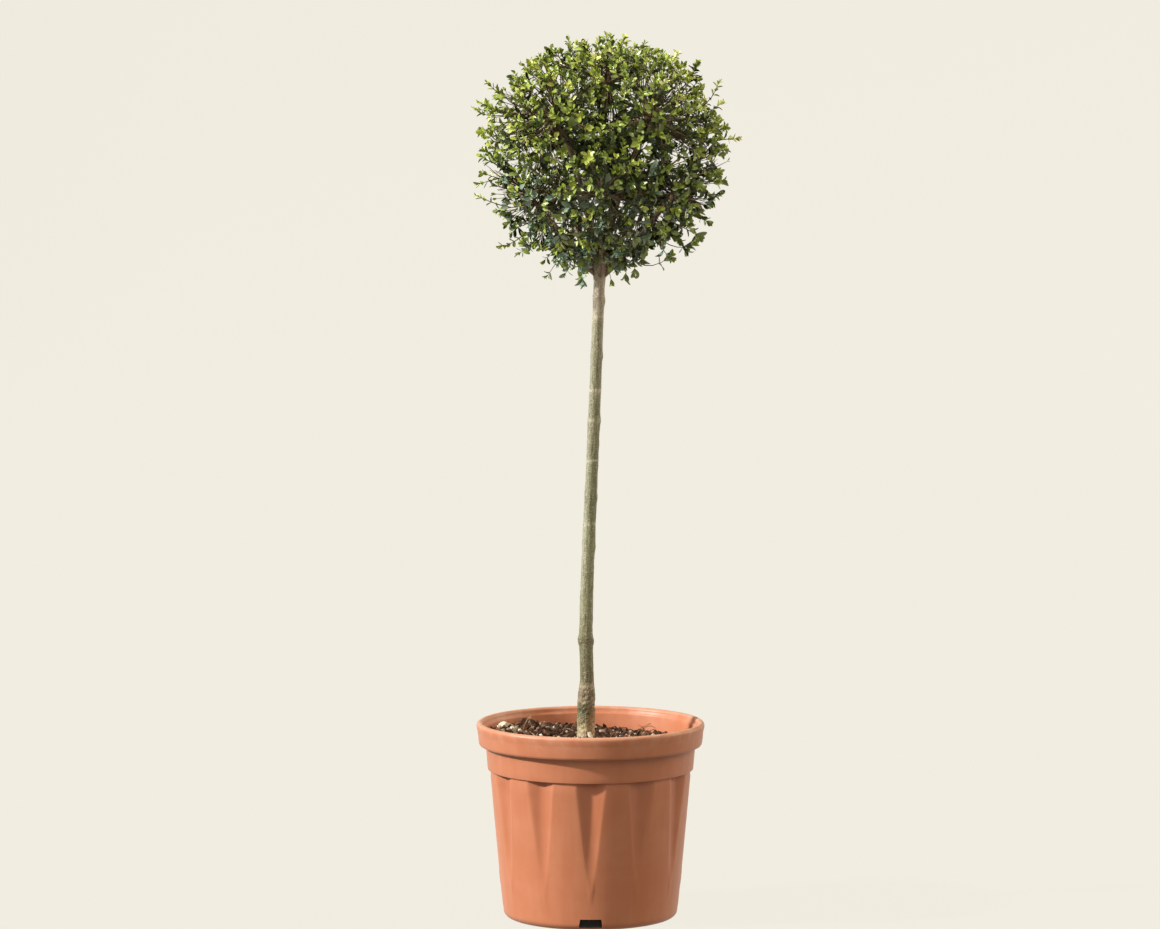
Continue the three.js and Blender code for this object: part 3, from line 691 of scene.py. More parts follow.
def stemCentre(heights):
    # a smooth cubic curve through four points, spaced by the square roots of their distances, read off at
    # each height, plus the kink's bell
    fork = np.array(stem["fork"])
    foot = np.array([stemFoot[0], stemFoot[1], stem["bottom"]])
    low = np.array([stemFoot[0], stemFoot[1] - stem["sway"], stem["straightTo"]])
    middle = (fork + np.array([stemFoot[0], stem["sway"], stem["straightTo"]])) / 2
    knots = np.array([2 * foot - low, foot, low, middle, fork, 2 * fork - middle])
    steps = np.linalg.norm(np.diff(knots, axis=0), axis=1) ** 0.5
    t = np.linspace(0, 1, 60)[:, None]
    line = []
    for k in range(1, 4):
        before, here, after = steps[k - 1], steps[k], steps[k + 1]
        a, b, c, d = knots[k - 1: k + 3]
        pull = ((b - a) / before - (c - a) / (before + here) + (c - b) / here) * here
        push = ((c - b) / here - (d - b) / (here + after) + (d - c) / after) * here
        line.append((2 * t ** 3 - 3 * t ** 2 + 1) * b + (t ** 3 - 2 * t ** 2 + t) * pull
                    + (3 * t ** 2 - 2 * t ** 3) * c + (t ** 3 - t ** 2) * push)
    line = np.concatenate(line)
    centre = np.stack([np.interp(heights, line[:, 2], line[:, k]) for k in range(2)], -1)
    shift, middle, length = stem["kink"]
    centre[..., 0] += shift * bell(heights - middle, length)
    return centre


def stemRadius(height):
    # a stout foot, a slow taper, a swelling at each knuckle and a swollen head
    fork = stem["fork"][2]
    share = np.clip((height - stem["footTop"]) / (fork - stem["footTop"]), 0, 1)
    taper = stem["lowRadius"] + (stem["highRadius"] - stem["lowRadius"]) * share
    foot = smoothStep(height, stem["footTop"] - stem["footEase"], stem["footTop"] + stem["footEase"])
    body = stem["footRadius"] + (taper - stem["footRadius"]) * foot
    bumps = sum(stem["swell"] * bell(height - k, stem["halfHeight"]) for k in stem["knuckles"])
    head = bell(height - fork, stem["headHalfHeight"]) * (stem["headRadius"] - body)
    return body + bumps + head


def barkRelief(angle, height):
    # fine lengthwise ridges, raised rings, cork warts and old branch scars, each a small bell in
    # angle and height
    drawnOut = spun(stem["girth"], angle, height * stem["drawnOut"])
    relief = sum(rise * ripple(drawnOut, size, seed) for rise, size, seed in stem["ridges"])
    rise, size, seed = stem["roughFoot"]
    lowBark = 1 - smoothStep(height, *stem["roughFootTop"])
    relief += lowBark * rise * ripple(spun(stem["girth"], angle, height), size, seed)
    out, half, waver = stem["ring"]
    for ring in stem["rings"]:
        wobble = ring + waver * np.sin(angle * 2 + ring)
        relief += out * (1 + np.sin(angle * 3 + ring)) * bell(height - wobble, half)
    for where, turn, out, size in stem["scars"]:
        away = wrapped(angle - math.radians(turn)) * stem["markRadius"]
        near = ((height - where) / size) ** 2 + (away / size) ** 2
        relief += out * (np.exp(-near) - 0.35 * np.exp(-near * 7))
    dice = np.random.default_rng(17)
    out, tall, wide = stem["lenticel"]
    for k in range(stem["lenticels"]):
        where, turn = dice.uniform(*stem["lenticelsFrom"]), dice.uniform(-np.pi, np.pi)
        rows = np.abs(height[:, 0] - where) < 4
        away = wrapped(angle[rows] - turn) * stem["markRadius"]
        relief[rows] += out * bell(height[rows] - where, tall) * bell(away, wide)
    return relief


def makeStem():
    # rings of points level with the ground along the centre line, from a flat cut to the fork
    heights = np.linspace(stem["bottom"], stem["fork"][2], stem["rows"])
    angle, height = np.meshgrid(around(stem["sides"]), heights)
    centre = stemCentre(heights)
    rings = spun(stemRadius(height) + barkRelief(angle, height), angle, height)
    rings[..., :2] += centre[:, None]
    points, quads, fans = closedTube(rings, [[*centre[k], heights[k]] for k in (0, -1)])
    makePiece("stem_bark", points, [quads.reshape(-1, 4), fans], barkFinish("stemBark", True),
              ["trunk"])


barkTones = [  # height and colour: pale foot, green patch, brown band, grey-olive length, pinkish grey top
    (235, 214, 194, 158), (250, 186, 170, 130), (262, 150, 138, 102), (268, 96, 94, 60),
    (276, 80, 80, 46), (283, 108, 99, 68), (287, 170, 156, 126), (291, 118, 102, 76),
    (303, 126, 110, 84), (306, 170, 158, 130), (310, 112, 106, 76), (360, 120, 118, 86),
    (366, 98, 90, 62), (372, 124, 122, 90), (398, 138, 137, 103), (518, 134, 135, 99),
    (520, 208, 202, 176), (522, 120, 120, 86), (601, 130, 131, 95), (603, 214, 208, 184),
    (605, 108, 107, 74), (653, 142, 140, 109), (655, 206, 198, 174), (657, 128, 127, 94),
    (690, 150, 147, 117), (695, 222, 215, 192), (698, 132, 131, 98), (787, 160, 154, 126),
    (790, 216, 206, 184), (793.5, 180, 168, 146), (838, 218, 200, 180), (862, 190, 160, 134),
]


def barkFinish(name, banded):
    # tones by height with ragged edges, painted light paler on the lit side, a painted warm bounce from the
    # pot on the right of the foot, or two tones of young bark; then lengthwise streaks, a fine grain, pale
    # cork flecks and dashes
    finish = Finish(name)
    ragged = finish.noise(130.0, 5.0, 0.7)
    streaks = finish.noise(1.0, 4.0, 0.6, finish.stretched((420, 420, 50)))
    grain = finish.noise(1.0, 3.0, 0.7, finish.stretched((620, 620, 480)))
    dashes = finish.noise(1.0, 2.0, 0.5, finish.stretched((190, 190, 900)))
    cells = {"Vector": finish.stretched((1, 1, 1.8)), "Scale": 210.0}
    flecks = finish.node("ShaderNodeTexVoronoi", {}, cells)
    if banded:
        across, height = finish.axis(0), finish.axis(2)
        low, high = barkTones[0][0], barkTones[-1][0]
        share = (height + (ragged - 0.5) * (stem["ragged"] * mm) - low * mm) * (1 / mm / (high - low))
        tone = finish.ramp(share, [((z - low) / (high - low), paint(*colour)) for z, *colour in barkTones])
        climb = height - stem["straightTo"] * mm
        lean = (stem["fork"][0] - stemFoot[0]) / (stem["fork"][2] - stem["straightTo"])
        beside = across - stemFoot[0] * mm - climb.math("MAXIMUM", climb, 0) * lean
        # painted light: the lit side paler, and the pot's warm bounce on the right of the foot
        for side in ("bleached", "flank"):
            colour, weight = stem[side]
            reach = finish.mask(beside, *metres(stem[side + "From"]))
            reach = reach * finish.mask(height, *metres(stem[side + "Height"]))
            tone = finish.mix(reach * weight, tone, colour)
    else:
        tone = finish.mix(ragged, *stem["young"])
    marks = [  # pattern, where it begins and where it is full, weight, colour
        (streaks, 0.48, 0.33, 0.6, (74, 68, 40)),
        (grain, 0.5, 0.36, 0.6, (58, 54, 32)),
        (grain, 0.57, 0.68, 0.5, (214, 208, 186)),
        (dashes, 0.62, 0.69, 0.6, (216, 208, 184)),
        (flecks, 0.17, 0.08, 0.65, (214, 206, 180)),
    ]
    for pattern, low, high, weight, colour in marks:
        tone = finish.mix(finish.mask(pattern, low, high) * weight, tone, paint(*colour))
    return finish.surface({
        "Base Color": tone,
        "Roughness": ragged * 0.25 + 0.42,
        "Specular IOR Level": 0.6,
        "Sheen Weight": 0.12, "Sheen Roughness": 0.4, "Sheen Tint": paint(236, 230, 210),
        "Normal": finish.bump(streaks * 0.6 + grain * 0.8, stem["relief"]),
    })


print("stem")
makeStem()

# Crown: where its masses, boughs and shoots lie, by the same seeded rule as the solids
crown = {
    "centre": np.array([17.6, 0.0, 1008.0]), "halfWidth": 171, "above": 161, "below": 168, "squareness": 2.3,
    "scatter": 14, "seed": 11, "shoots": 93, "jitter": 0.1, "least": 0.95, "short": 38.3, "lift": 9,
    "sag": 0.3,
    # boughs and shoots: radii at both ends; the relief's height and size
    "boughRadius": (4.2, 2.3), "boughRows": 16, "boughSides": 10, "boughRelief": (0.25, 5),
    "shootRadius": (2.4, 1.1), "shootRows": 9, "shootSides": 6,
}
lumps = {"height": 0.025, "around": 3, "upright": 4, "shift": 2, "fineHeight": 0.01, "fineAround": 7}
massRings = [  # name, count, out, up, first azimuth, bough's start out and up, its arch out and up
    ("top", 1, 2, 84, 0, 0, 0, 0.1, 0.55),
    ("upper", 4, 88, 40, 45, 7.2, 0, 0.32, 0.62),
    ("lower", 5, 92, -58, 54, 4, -17, 0.5, 0.35),
]
strays = [  # azimuth, elevation, reach
    (-4, 5, 1.06), (184, 21, 1.07), (176, -15, 1.05), (200, -71, 1.06),
    (222, -76, 1.08), (-22, -56, 1.04), (70, 40, 1.05), (118, -30, 1.05),
]


def randomFrom(start):
    # seeded numbers from 0 to 1: the mulberry32 rule on 32-bit whole numbers
    state, whole = start, 0xFFFFFFFF

    def draw():
        nonlocal state
        state = (state + 0x6D2B79F5) & whole
        mixed = ((state ^ (state >> 15)) * (1 | state)) & whole
        mixed = (mixed + ((mixed ^ (mixed >> 7)) * (61 | mixed) & whole)) & whole ^ mixed
        return ((mixed ^ (mixed >> 14)) & whole) / 4294967296
    return draw


def crownReach(direction):
    # a squarish ball, ((flat/a)^p + (rise/b)^p)^(-1/p), with faint lumps
    flat = np.hypot(direction[..., 0], direction[..., 1]) / crown["halfWidth"]
    rise = np.abs(direction[..., 2]) / np.where(direction[..., 2] > 0, crown["above"], crown["below"])
    ball = (flat ** crown["squareness"] + rise ** crown["squareness"]) ** (-1 / crown["squareness"])
    azimuth = np.arctan2(direction[..., 1], direction[..., 0])
    broad = np.sin(lumps["around"] * azimuth + lumps["shift"]) * np.cos(lumps["upright"] * direction[..., 2])
    return ball * (1 + lumps["height"] * broad + lumps["fineHeight"] * np.sin(lumps["fineAround"] * azimuth))


def onBall(height, azimuth):
    # the point of a ball of radius one at this height above its middle
    return spun(np.sqrt(1 - height * height), azimuth, height)


def evenly(count):
    # directions spread evenly over a ball: equal steps in height, golden-angle steps round it
    number = np.arange(count)
    return 1 - (2 * number + 1) / count, number * np.pi * (3 - math.sqrt(5))


draw = randomFrom(crown["seed"])
fork = np.array(stem["fork"])
starts, bends, hearts = [], [], []
for name, count, out, rise, first, startOut, startUp, archOut, archUp in massRings:
    for k in range(count):
        azimuth = math.radians(first) + k * 2 * math.pi / count
        outward = np.array([math.cos(azimuth), math.sin(azimuth), 0])
        height = rise + (crown["scatter"] * (2 * draw() - 1) if count > 1 else 0)
        hearts.append(crown["centre"] + outward * out + [0, 0, height])
        starts.append(fork + outward * startOut + [0, 0, startUp])
        bends.append(starts[-1] + (hearts[-1] - starts[-1]) * [archOut, archOut, archUp])
starts, bends, hearts = np.array(starts), np.array(bends), np.array(hearts)

heights, azimuths = evenly(crown["shoots"])
draws = np.array([[draw(), draw()] for k in range(crown["shoots"])])
aims = onBall(heights, azimuths + crown["jitter"] * (draws[:, 0] - 0.5))
reaches = crown["least"] + (1 - crown["least"]) * draws[:, 1]
wild = np.radians(np.array(strays)[:, :2])
aims = np.concatenate([aims, onBall(np.sin(wild[:, 1]), wild[:, 0])])
reaches = np.concatenate([reaches, np.array(strays)[:, 2]])
shootTips = crown["centre"] + aims * (reaches * crownReach(aims) - crown["short"])[:, None]


def owner(points):
    # the mass that a point belongs to: the one with the nearest heart
    return np.argmin(np.linalg.norm(points[..., None, :] - hearts, axis=-1), axis=-1)


shootOwner = owner(shootTips)
shootStarts = hearts[shootOwner]
lifts = crown["lift"] * (np.array([draw() for k in range(len(aims))]) - crown["sag"])
shootBends = (shootStarts + shootTips) / 2 + np.stack([0 * lifts, 0 * lifts, lifts], -1)
print("crown laid out with", len(hearts), "masses and", len(aims), "shoots")

# Sprays: finer twigs that leave the shoots and end in leaves at the crown's face
sprays = {
    "outer": 1010, "inner": 510, "seed": 5,
    "outerReach": (0.82, 0.93), "innerReach": (0.14, 0.76),
    "hollows": 0.022, "hollowSize": 50,  # lumps and hollows of the leafy face
    "thinSize": 24, "thin": -1.5,  # no spray stands where this random field is below `thin`
    "fuller": [  # a direction, how far round it, and how much further the leaves reach there
        ((-0.66, -0.1, -0.74), 0.8, 0.06), ((0.56, -0.1, -0.82), 0.88, -0.07),
        ((-0.5, -0.1, -0.86), 0.93, -0.06), ((-0.88, -0.1, -0.47), 0.9, -0.05),
        ((-0.99, -0.1, 0.1), 0.93, 0.075), ((0.62, -0.1, 0.78), 0.93, 0.03),
        ((-0.6, -0.1, 0.8), 0.93, -0.025), ((0.99, -0.1, 0.12), 0.93, 0.022),
        ((-0.08, -0.1, 0.99), 0.94, 0.018),
    ],
    "shaded": [  # a direction, and how many tones darker the leaves are there
        ((0.34, -0.1, -0.94), 0.25), ((-0.6, -0.3, 0.74), 0.5),
    ],
    "clumpSize": 26, "clump": 1.25,  # young bright growth comes in clumps this wide, this many tones apart
    "wildShare": 0.06, "wild": 0.04,  # sprays that the shears missed, and how much further they reach
    "back": (0.9, 22),  # how far behind the shoot's tip a twig leaves it: share of its side reach, and more
    "rise": 0.6,  # how far twigs turn up towards the light
    "shake": 0.035,  # how far the even directions are shaken
    "settled": (0.04, 0.1),  # how much less far stray shoots and the others reach with their own leaves
    "below": 4,  # twigs end this far under the leafy face
    "footShare": 0.12,  # twigs leave a shoot no nearer to its foot than this share of it
    "bow": (0.5, 0.45), "turned": 0.22,  # pull at both ends of the twig's curve, and how far it is turned
    "radius": (0.85, 0.32), "rows": 6, "sides": 4,
    # how bright a spray is: by its direction to the light, by its reach above this, by chance
    "light": (-0.25, -0.1, 0.9), "lit": (0.5, 2.6, 0.86, 0.26),
    "tone": (3.65, 1.9, 0.2, 5.4),  # in the shade, how much less in the light, its least and its most
    "blueness": (0.02, 0.42, 0.34),  # share of blue-green: less by this, more downward by this, at most this
}
windows = np.array([  # where the backdrop shows through from the front: across, height, radius
    (-127, 983, 7.5), (-122, 977, 6.5), (-117, 955, 7.0), (157, 960, 6.5), (169, 993, 5.5),
    (-100, 992, 5.5), (-72, 941, 5.5), (-107, 1081, 5.0), (-107, 1069, 5.0), (-118, 1051, 4.5),
    (-91, 927, 4.5), (53, 1006, 4.8), (136, 944, 4.5), (111, 992, 4.5), (110, 1002, 4.5), (148, 994, 4.2),
    (-50, 918, 4.2), (100, 952, 4.2), (-51, 1070, 4.2), (-14, 966, 4.2), (-53, 1087, 4.0), (126, 1012, 4.0),
    (-15, 938, 4.2), (-62, 1112, 4.0), (28, 1058, 4.0), (27, 1050, 4.0), (25, 1081, 4.0), (-42, 1127, 3.8),
    (-44, 900, 4.0), (69, 1012, 4.0), (-25, 1081, 3.8), (-9, 925, 3.8), (94, 919, 3.8), (112, 914, 4.6),
    (122, 1092, 3.6), (-46, 940, 3.8), (79, 875, 4.0), (145, 940, 4.0), (150, 966, 4.0), (60, 905, 3.6),
    (52, 880, 4.0), (-57, 928, 3.8), (-86, 908, 4.4), (-64, 893, 4.0), (-104, 934, 4.2), (-20, 892, 3.6),
    (34, 934, 3.4), (76, 940, 3.4),
])
# Loose sprigs: foot, bend, tip, share of blue-green, tone from 0 lime to 5 dark, leaf size, pairs
sprigs = np.array([
    (8, -12, 896, 12, -28, 882, 9, -32, 868, 0, 4.4, 1.1, 5),
    (16, -14, 902, 20, -28, 890, 17, -32, 876, 0, 4.0, 1.15, 5),
    (0, -14, 902, -2, -28, 892, 1, -32, 880, 0.5, 4.2, 1.1, 5),
    (-20, -14, 894, -26, -24, 884, -22, -28, 870, 0.3, 4.4, 1.1, 5),
    (-6, -18, 896, -13, -28, 868, -11, -34, 836, 1, 4.2, 1.35, 3),
    (-8, -20, 898, -13, -28, 874, -10, -32, 850, 1, 3.4, 1.2, 5),
    (-2, -24, 898, -5, -34, 874, -5, -36, 856, 1, 3.4, 1.2, 5),
    (-12, -18, 902, -14, -32, 886, -12, -36, 864, 1, 3.2, 1.25, 6),
    (-4, -24, 906, -3, -34, 890, -4, -38, 872, 1, 3.2, 1.2, 6),
    (-24, -18, 898, -30, -30, 878, -27, -34, 860, 0.6, 4.0, 1.05, 4),
    (-34, -10, 884, -44, -22, 862, -57, -30, 845, 0, 4.6, 0.95, 3),
    (-62, -22, 908, -50, -30, 890, -38, -34, 868, 0, 4.6, 0.95, 4),
    (-84, -20, 902, -98, -30, 888, -116, -34, 884, 0, 2.6, 0.9, 7),
    (-60, -26, 904, -78, -36, 884, -92, -40, 876, 0, 3.6, 1.0, 6),
    (16, -12, 868, 24, -22, 856, 27, -24, 838, 0, 3.0, 1.3, 2),
    (20, -12, 886, 26, -26, 874, 25, -32, 860, 0, 4.4, 1.3, 5),
    (28, -12, 890, 34, -26, 876, 35, -32, 860, 0.4, 4.6, 1.35, 5),
    (36, -12, 892, 44, -26, 878, 44, -32, 862, 0, 4.8, 1.4, 5),
    (46, -16, 896, 56, -30, 880, 55, -34, 864, 0, 4.4, 1.4, 5),
    (54, -16, 896, 64, -30, 880, 66, -34, 866, 0, 4.2, 1.35, 5),
    (40, -12, 878, 47, -28, 864, 46, -32, 848, 0, 5.0, 2.0, 2),
    (48, -14, 880, 58, -30, 866, 57, -34, 853, 0, 5.0, 1.8, 2),
    (52, -18, 872, 72, -34, 846, 104, -38, 872, 0, 3.4, 1.35, 4),
    (84, -18, 900, 106, -34, 876, 132, -40, 886, 0, 4.2, 1.5, 4),
    (84, -20, 908, 98, -32, 904, 114, -38, 893, 0, 4.6, 1.4, 5),
    (96, -20, 916, 112, -32, 915, 131, -38, 906, 0, 4.4, 1.4, 4),
    (-104, -6, 1056, -126, -12, 1058, -150, -14, 1062, 0, 1.4, 0.85, 7),
    (-104, -8, 1074, -120, -12, 1080, -134, -14, 1096, 0, 2.4, 0.85, 7),
    (-100, -10, 966, -120, -16, 972, -141, -16, 979, 0, 1.8, 0.85, 7),
    (-104, -8, 934, -126, -16, 938, -148, -18, 950, 0, 1.6, 0.85, 7),
    (112, -10, 1082, 130, -18, 1098, 138, -20, 1121, 0, 4.2, 1.1, 7),
    (92, -20, 902, 112, -34, 896, 124, -40, 880, 0, 4.6, 1.5, 3),
    (104, -20, 916, 124, -32, 908, 142, -38, 896, 0, 4.4, 1.5, 3),
    (112, -20, 930, 136, -30, 926, 152, -34, 916, 0, 4.4, 1.3, 4),
    (134, -8, 1058, 158, -14, 1070, 166, -16, 1096, 0, 2.4, 0.85, 7),
])
leaves = {
    "back": [0.6, 3.5, 8.0, 14, 21, 29, 38],  # where each pair stands behind the tip
    "length": [6.6, 8.6, 10.1, 10.7, 10.5, 10.0, 9.4],
    "spread": [20, 34, 46, 54, 60, 64, 68],  # degrees between leaf and twig
    "kept": [1, 0.95, 0.84, 0.62, 0.44, 0.28, 0.16],  # share of its leaves that each pair still has
    "older": [-1.0, -0.7, -0.1, 0.6, 1.2, 1.6, 1.9],  # how many tones darker than its twig's each pair is
    "coolFrom": 3,  # tones from this one on turn blue-green where the twig does
    # how size goes with direction
    "largerTowards": (0.5, 0.0, -0.87), "larger": 0.12, "largerPower": 1.5, "highSmaller": 0.04,
    # shape of one leaf, and how it varies
    "width": 0.52, "widest": 1.0, "blunt": 0.72, "petiole": 0.08,
    "fold": 0.24, "foldVary": (0.5, 1.3), "curl": 0.16, "curlVary": (-0.3, 2.0), "widthVary": 0.1,
    "rows": [0, 0.1, 0.28, 0.48, 0.68, 0.85, 0.96], "roughness": 0.37,
    # how size, place, turn about the twig, turn within a pair, spread and tilt vary
    "vary": 0.18, "backVary": (0.85, 1.15), "turn": 16, "skew": 0.12, "spreadVary": 9, "tilt": 22,
    "gap": (12, 20, 880),  # the stem shows below the crown: half width, how far back, how high
    "within": 0.96, "farthest": 1.06,  # the part of the twig, and of the crown's reach, that leaves keep to
    "windowSize": 1.36,  # how much wider than what shows there a window is kept free
}
tints = [  # name, colour and gloss, from the young tips in the sun to the old leaves inside
    ("lemon", (224, 226, 146), 0.5),
    ("lime", (196, 207, 98), 0.5),
    ("fresh", (172, 190, 84), 0.55),
    ("mid", (152, 171, 68), 0.6),
    ("deep", (134, 152, 76), 0.8),
    ("dark", (49, 65, 8), 0.5),
    ("blue", (138, 166, 142), 0.9),
]


def laySprays():
    # even directions, shaken, at a random reach; each twig leaves the nearest shoot of its own mass, and
    # its tone is dim - less (by its direction to the light + by its reach + by chance) - its clump's tone
    dice = np.random.default_rng(sprays["seed"])
    sets = []
    for kind in ("outer", "inner"):
        heights, azimuths = evenly(sprays[kind])
        ways = unit(onBall(heights, azimuths) + dice.normal(0, sprays["shake"], (sprays[kind], 3)))
        lumpy = 1 + sprays["hollows"] * ripple(ways * crown["halfWidth"], sprays["hollowSize"], 21)
        missed = dice.random(sprays[kind]) < sprays["wildShare"]
        reach = dice.uniform(*sprays[kind + "Reach"], sprays[kind]) * lumpy
        reach += missed * dice.uniform(0, sprays["wild"], sprays[kind])
        # each of these directions counts in full half way from its limit to 1
        for way, least, more in sprays["fuller"]:
            reach += more * smoothStep(ways @ np.array(way), least, 0.5 + least / 2)
        full = ripple(ways * crown["halfWidth"], sprays["thinSize"], 33) > sprays["thin"]
        sets.append((ways[full], reach[full]))
    ways = np.concatenate([aims] + [s[0] for s in sets])
    settled = reaches - np.where(reaches > 1, *sprays["settled"])
    reach = np.concatenate([settled] + [s[1] for s in sets])
    tips = crown["centre"] + ways * (reach * crownReach(ways) - sprays["below"])[:, None]
    masses = owner(tips)
    apart = np.linalg.norm(tips[:, None] - shootTips[None], axis=-1)
    apart = np.where(masses[:, None] == shootOwner[None], apart, 1e6)
    parent = np.argmin(apart, axis=1)
    first = np.arange(len(aims))
    parent[first] = first
    start, bend, end = shootStarts[parent], shootBends[parent], shootTips[parent]
    axis = unit(end - start)
    beside = tips - end
    sideways = np.linalg.norm(beside - (beside * axis).sum(-1, keepdims=True) * axis, axis=-1)
    inward = np.maximum(0, -(beside * axis).sum(-1))
    back = sprays["back"][0] * sideways + sprays["back"][1] * dice.random(len(tips)) + inward
    back[first] = 0
    t = np.clip(1 - back / np.linalg.norm(end - start, axis=-1), sprays["footShare"], 1)[:, None]
    foot = curvePoint(start, bend, end, t)
    along = unit(curveWay(start, bend, end, t) + 1e-9)
    span = np.linalg.norm(tips - foot, axis=-1, keepdims=True)
    facing = unit(ways + [0, 0, sprays["rise"]] + dice.normal(0, sprays["turned"], tips.shape))
    outPull, backPull = sprays["bow"]
    bends = (foot + along * outPull * span + tips - facing * backPull * span) / 2
    count = len(tips)
    loose = sprigs[:, :9].reshape(-1, 3, 3).transpose(1, 0, 2)
    foot, bends, tips = np.concatenate([[foot, bends, tips], loose], axis=1)
    ways = unit(tips - crown["centre"])
    near = ways[:count]
    byWay, byReach, middle, chance = sprays["lit"]
    bright = byWay * (near @ unit(np.array(sprays["light"]))) + byReach * (reach - middle)
    bright += dice.normal(0, chance, count)
    clumps = sprays["clump"] * ripple(tips[:count], sprays["clumpSize"], 71)
    shaded = sum(more * smoothStep(near @ np.array(way), 0.1, 0.9) for way, more in sprays["shaded"])
    dim, less, *limits = sprays["tone"]
    under, downward, most = sprays["blueness"]
    rows = [np.clip(-under - downward * near[:, 2], 0, most),
            np.clip(dim + shaded - less * bright - clumps, *limits),
            np.ones(count), np.full(count, len(leaves["back"]))]
    blue, tone, size, pairs = np.concatenate([rows, sprigs[:, 9:].T], axis=1)
    return {"foot": foot, "bend": bends, "tip": tips, "way": ways, "tone": tone, "blue": blue, "size": size,
            "span": np.linalg.norm(tips - foot, axis=-1, keepdims=True), "pairs": pairs,
            "loose": np.arange(len(tips)) >= count}


def leafSheet():
    # a leaf of unit length: half width u^a (1-u)^b scaled to 1, on rows along it and three columns
    rows = len(leaves["rows"])
    u = np.append(np.repeat(leaves["rows"], 3), 1.0)
    a, b = leaves["widest"], leaves["blunt"]
    half = u[:-1] ** a * (1 - u[:-1]) ** b / ((a / (a + b)) ** a * (b / (a + b)) ** b)
    v = np.append(np.tile([-1.0, 0.0, 1.0], rows) * np.maximum(half, leaves["petiole"]), 0.0)
    corner = np.arange(rows - 1)[:, None] * 3 + np.arange(2)[None]
    quads = np.stack([corner, corner + 3, corner + 4, corner + 1], -1).reshape(-1, 4)[:, ::-1]
    end = (rows - 1) * 3
    tip = np.array([[end, end + 1, rows * 3], [end + 1, end + 2, rows * 3]])
    return u, v, quads, tip


def layLeaves(laid):
    # pairs set crosswise on the outer part of each twig: axis = forward cos spread + away sin spread, and
    # face = forward sin spread - away cos spread, for every leaf
    dice = np.random.default_rng(sprays["seed"] + 1)
    count, pairs = len(laid["tip"]), len(leaves["back"])
    each = (count, pairs, 2)
    back = np.array(leaves["back"])[None] * dice.uniform(*leaves["backVary"], (count, 1))
    t = np.clip(1 - back / (laid["span"] * 1.05), 0.02, 1)[..., None]
    curve = [laid[k][:, None] for k in ("foot", "bend", "tip")]
    place, along = curvePoint(*curve, t), unit(curveWay(*curve, t))
    side = unit(np.cross(along, unit(dice.normal(size=(count, 1, 3)))))
    other = np.cross(along, side)
    turn = np.arange(pairs)[None] * np.pi / 2 + dice.normal(0, math.radians(leaves["turn"]), (count, pairs))
    turn = turn[..., None] + np.array([0, np.pi]) + dice.normal(0, leaves["skew"], each)
    away = side[:, :, None] * np.cos(turn)[..., None] + other[:, :, None] * np.sin(turn)[..., None]
    spread = np.array(leaves["spread"])[None, :, None] + dice.normal(0, leaves["spreadVary"], each)
    spread = np.radians(spread)[..., None]
    forward = along[:, :, None]
    axis = forward * np.cos(spread) + away * np.sin(spread)
    face = forward * np.sin(spread) - away * np.cos(spread)
    face = turnedAbout(axis, dice.normal(0, math.radians(leaves["tilt"]), each), face)
    loose = laid["loose"][:, None, None]
    low = np.clip(laid["way"] @ np.array(leaves["largerTowards"]), 0, 1) ** leaves["largerPower"]
    high = np.clip(laid["way"][:, 2], 0, 1)
    grown = (1 + leaves["larger"] * low - leaves["highSmaller"] * high)[:, None, None]
    length = np.array(leaves["length"])[None, :, None] * np.where(loose, 1, grown)
    length = length * (laid["size"][:, None, None] * np.exp(dice.normal(0, leaves["vary"], each)))
    root = np.broadcast_to(place[:, :, None], axis.shape)
    ends = root + axis * length[..., None]
    # leaves stay inside the crown's outline, out of the windows and clear of the stem
    arm = ends - crown["centre"]
    far = np.linalg.norm(arm, axis=-1)
    free = (far < leaves["farthest"] * crownReach(arm / far[..., None])) & ~inWindow((root + ends) / 2)
    aside, behind, top = leaves["gap"]
    stemLine = stemCentre(np.minimum(ends[..., 2], fork[2]))
    before = (np.abs(ends[..., 0] - stemLine[..., 0]) < aside) & (ends[..., 1] < behind)
    free &= ~before | (ends[..., 2] > top)
    kept = (free & (dice.random(each) < np.array(leaves["kept"])[None, :, None])) | loose
    kept &= (np.arange(pairs)[None] < laid["pairs"][:, None])[..., None]
    kept &= back[..., None] < leaves["within"] * laid["span"][..., None]
    return root, axis, face, length, kept


def inWindow(points):
    # whether a point, seen from the camera, falls on a window: its line of sight is followed to the plane
    # through the axis, where the windows are measured
    stand = np.array(view["stand"]) / mm
    share = -stand[1] / (points[..., 1] - stand[1])
    across = stand[0] + (points[..., 0] - stand[0]) * share
    height = stand[2] + (points[..., 2] - stand[2]) * share
    away = np.hypot(across[..., None] - windows[:, 0], height[..., None] - windows[:, 1])
    return (away < leaves["windowSize"] * windows[:, 2]).any(-1)


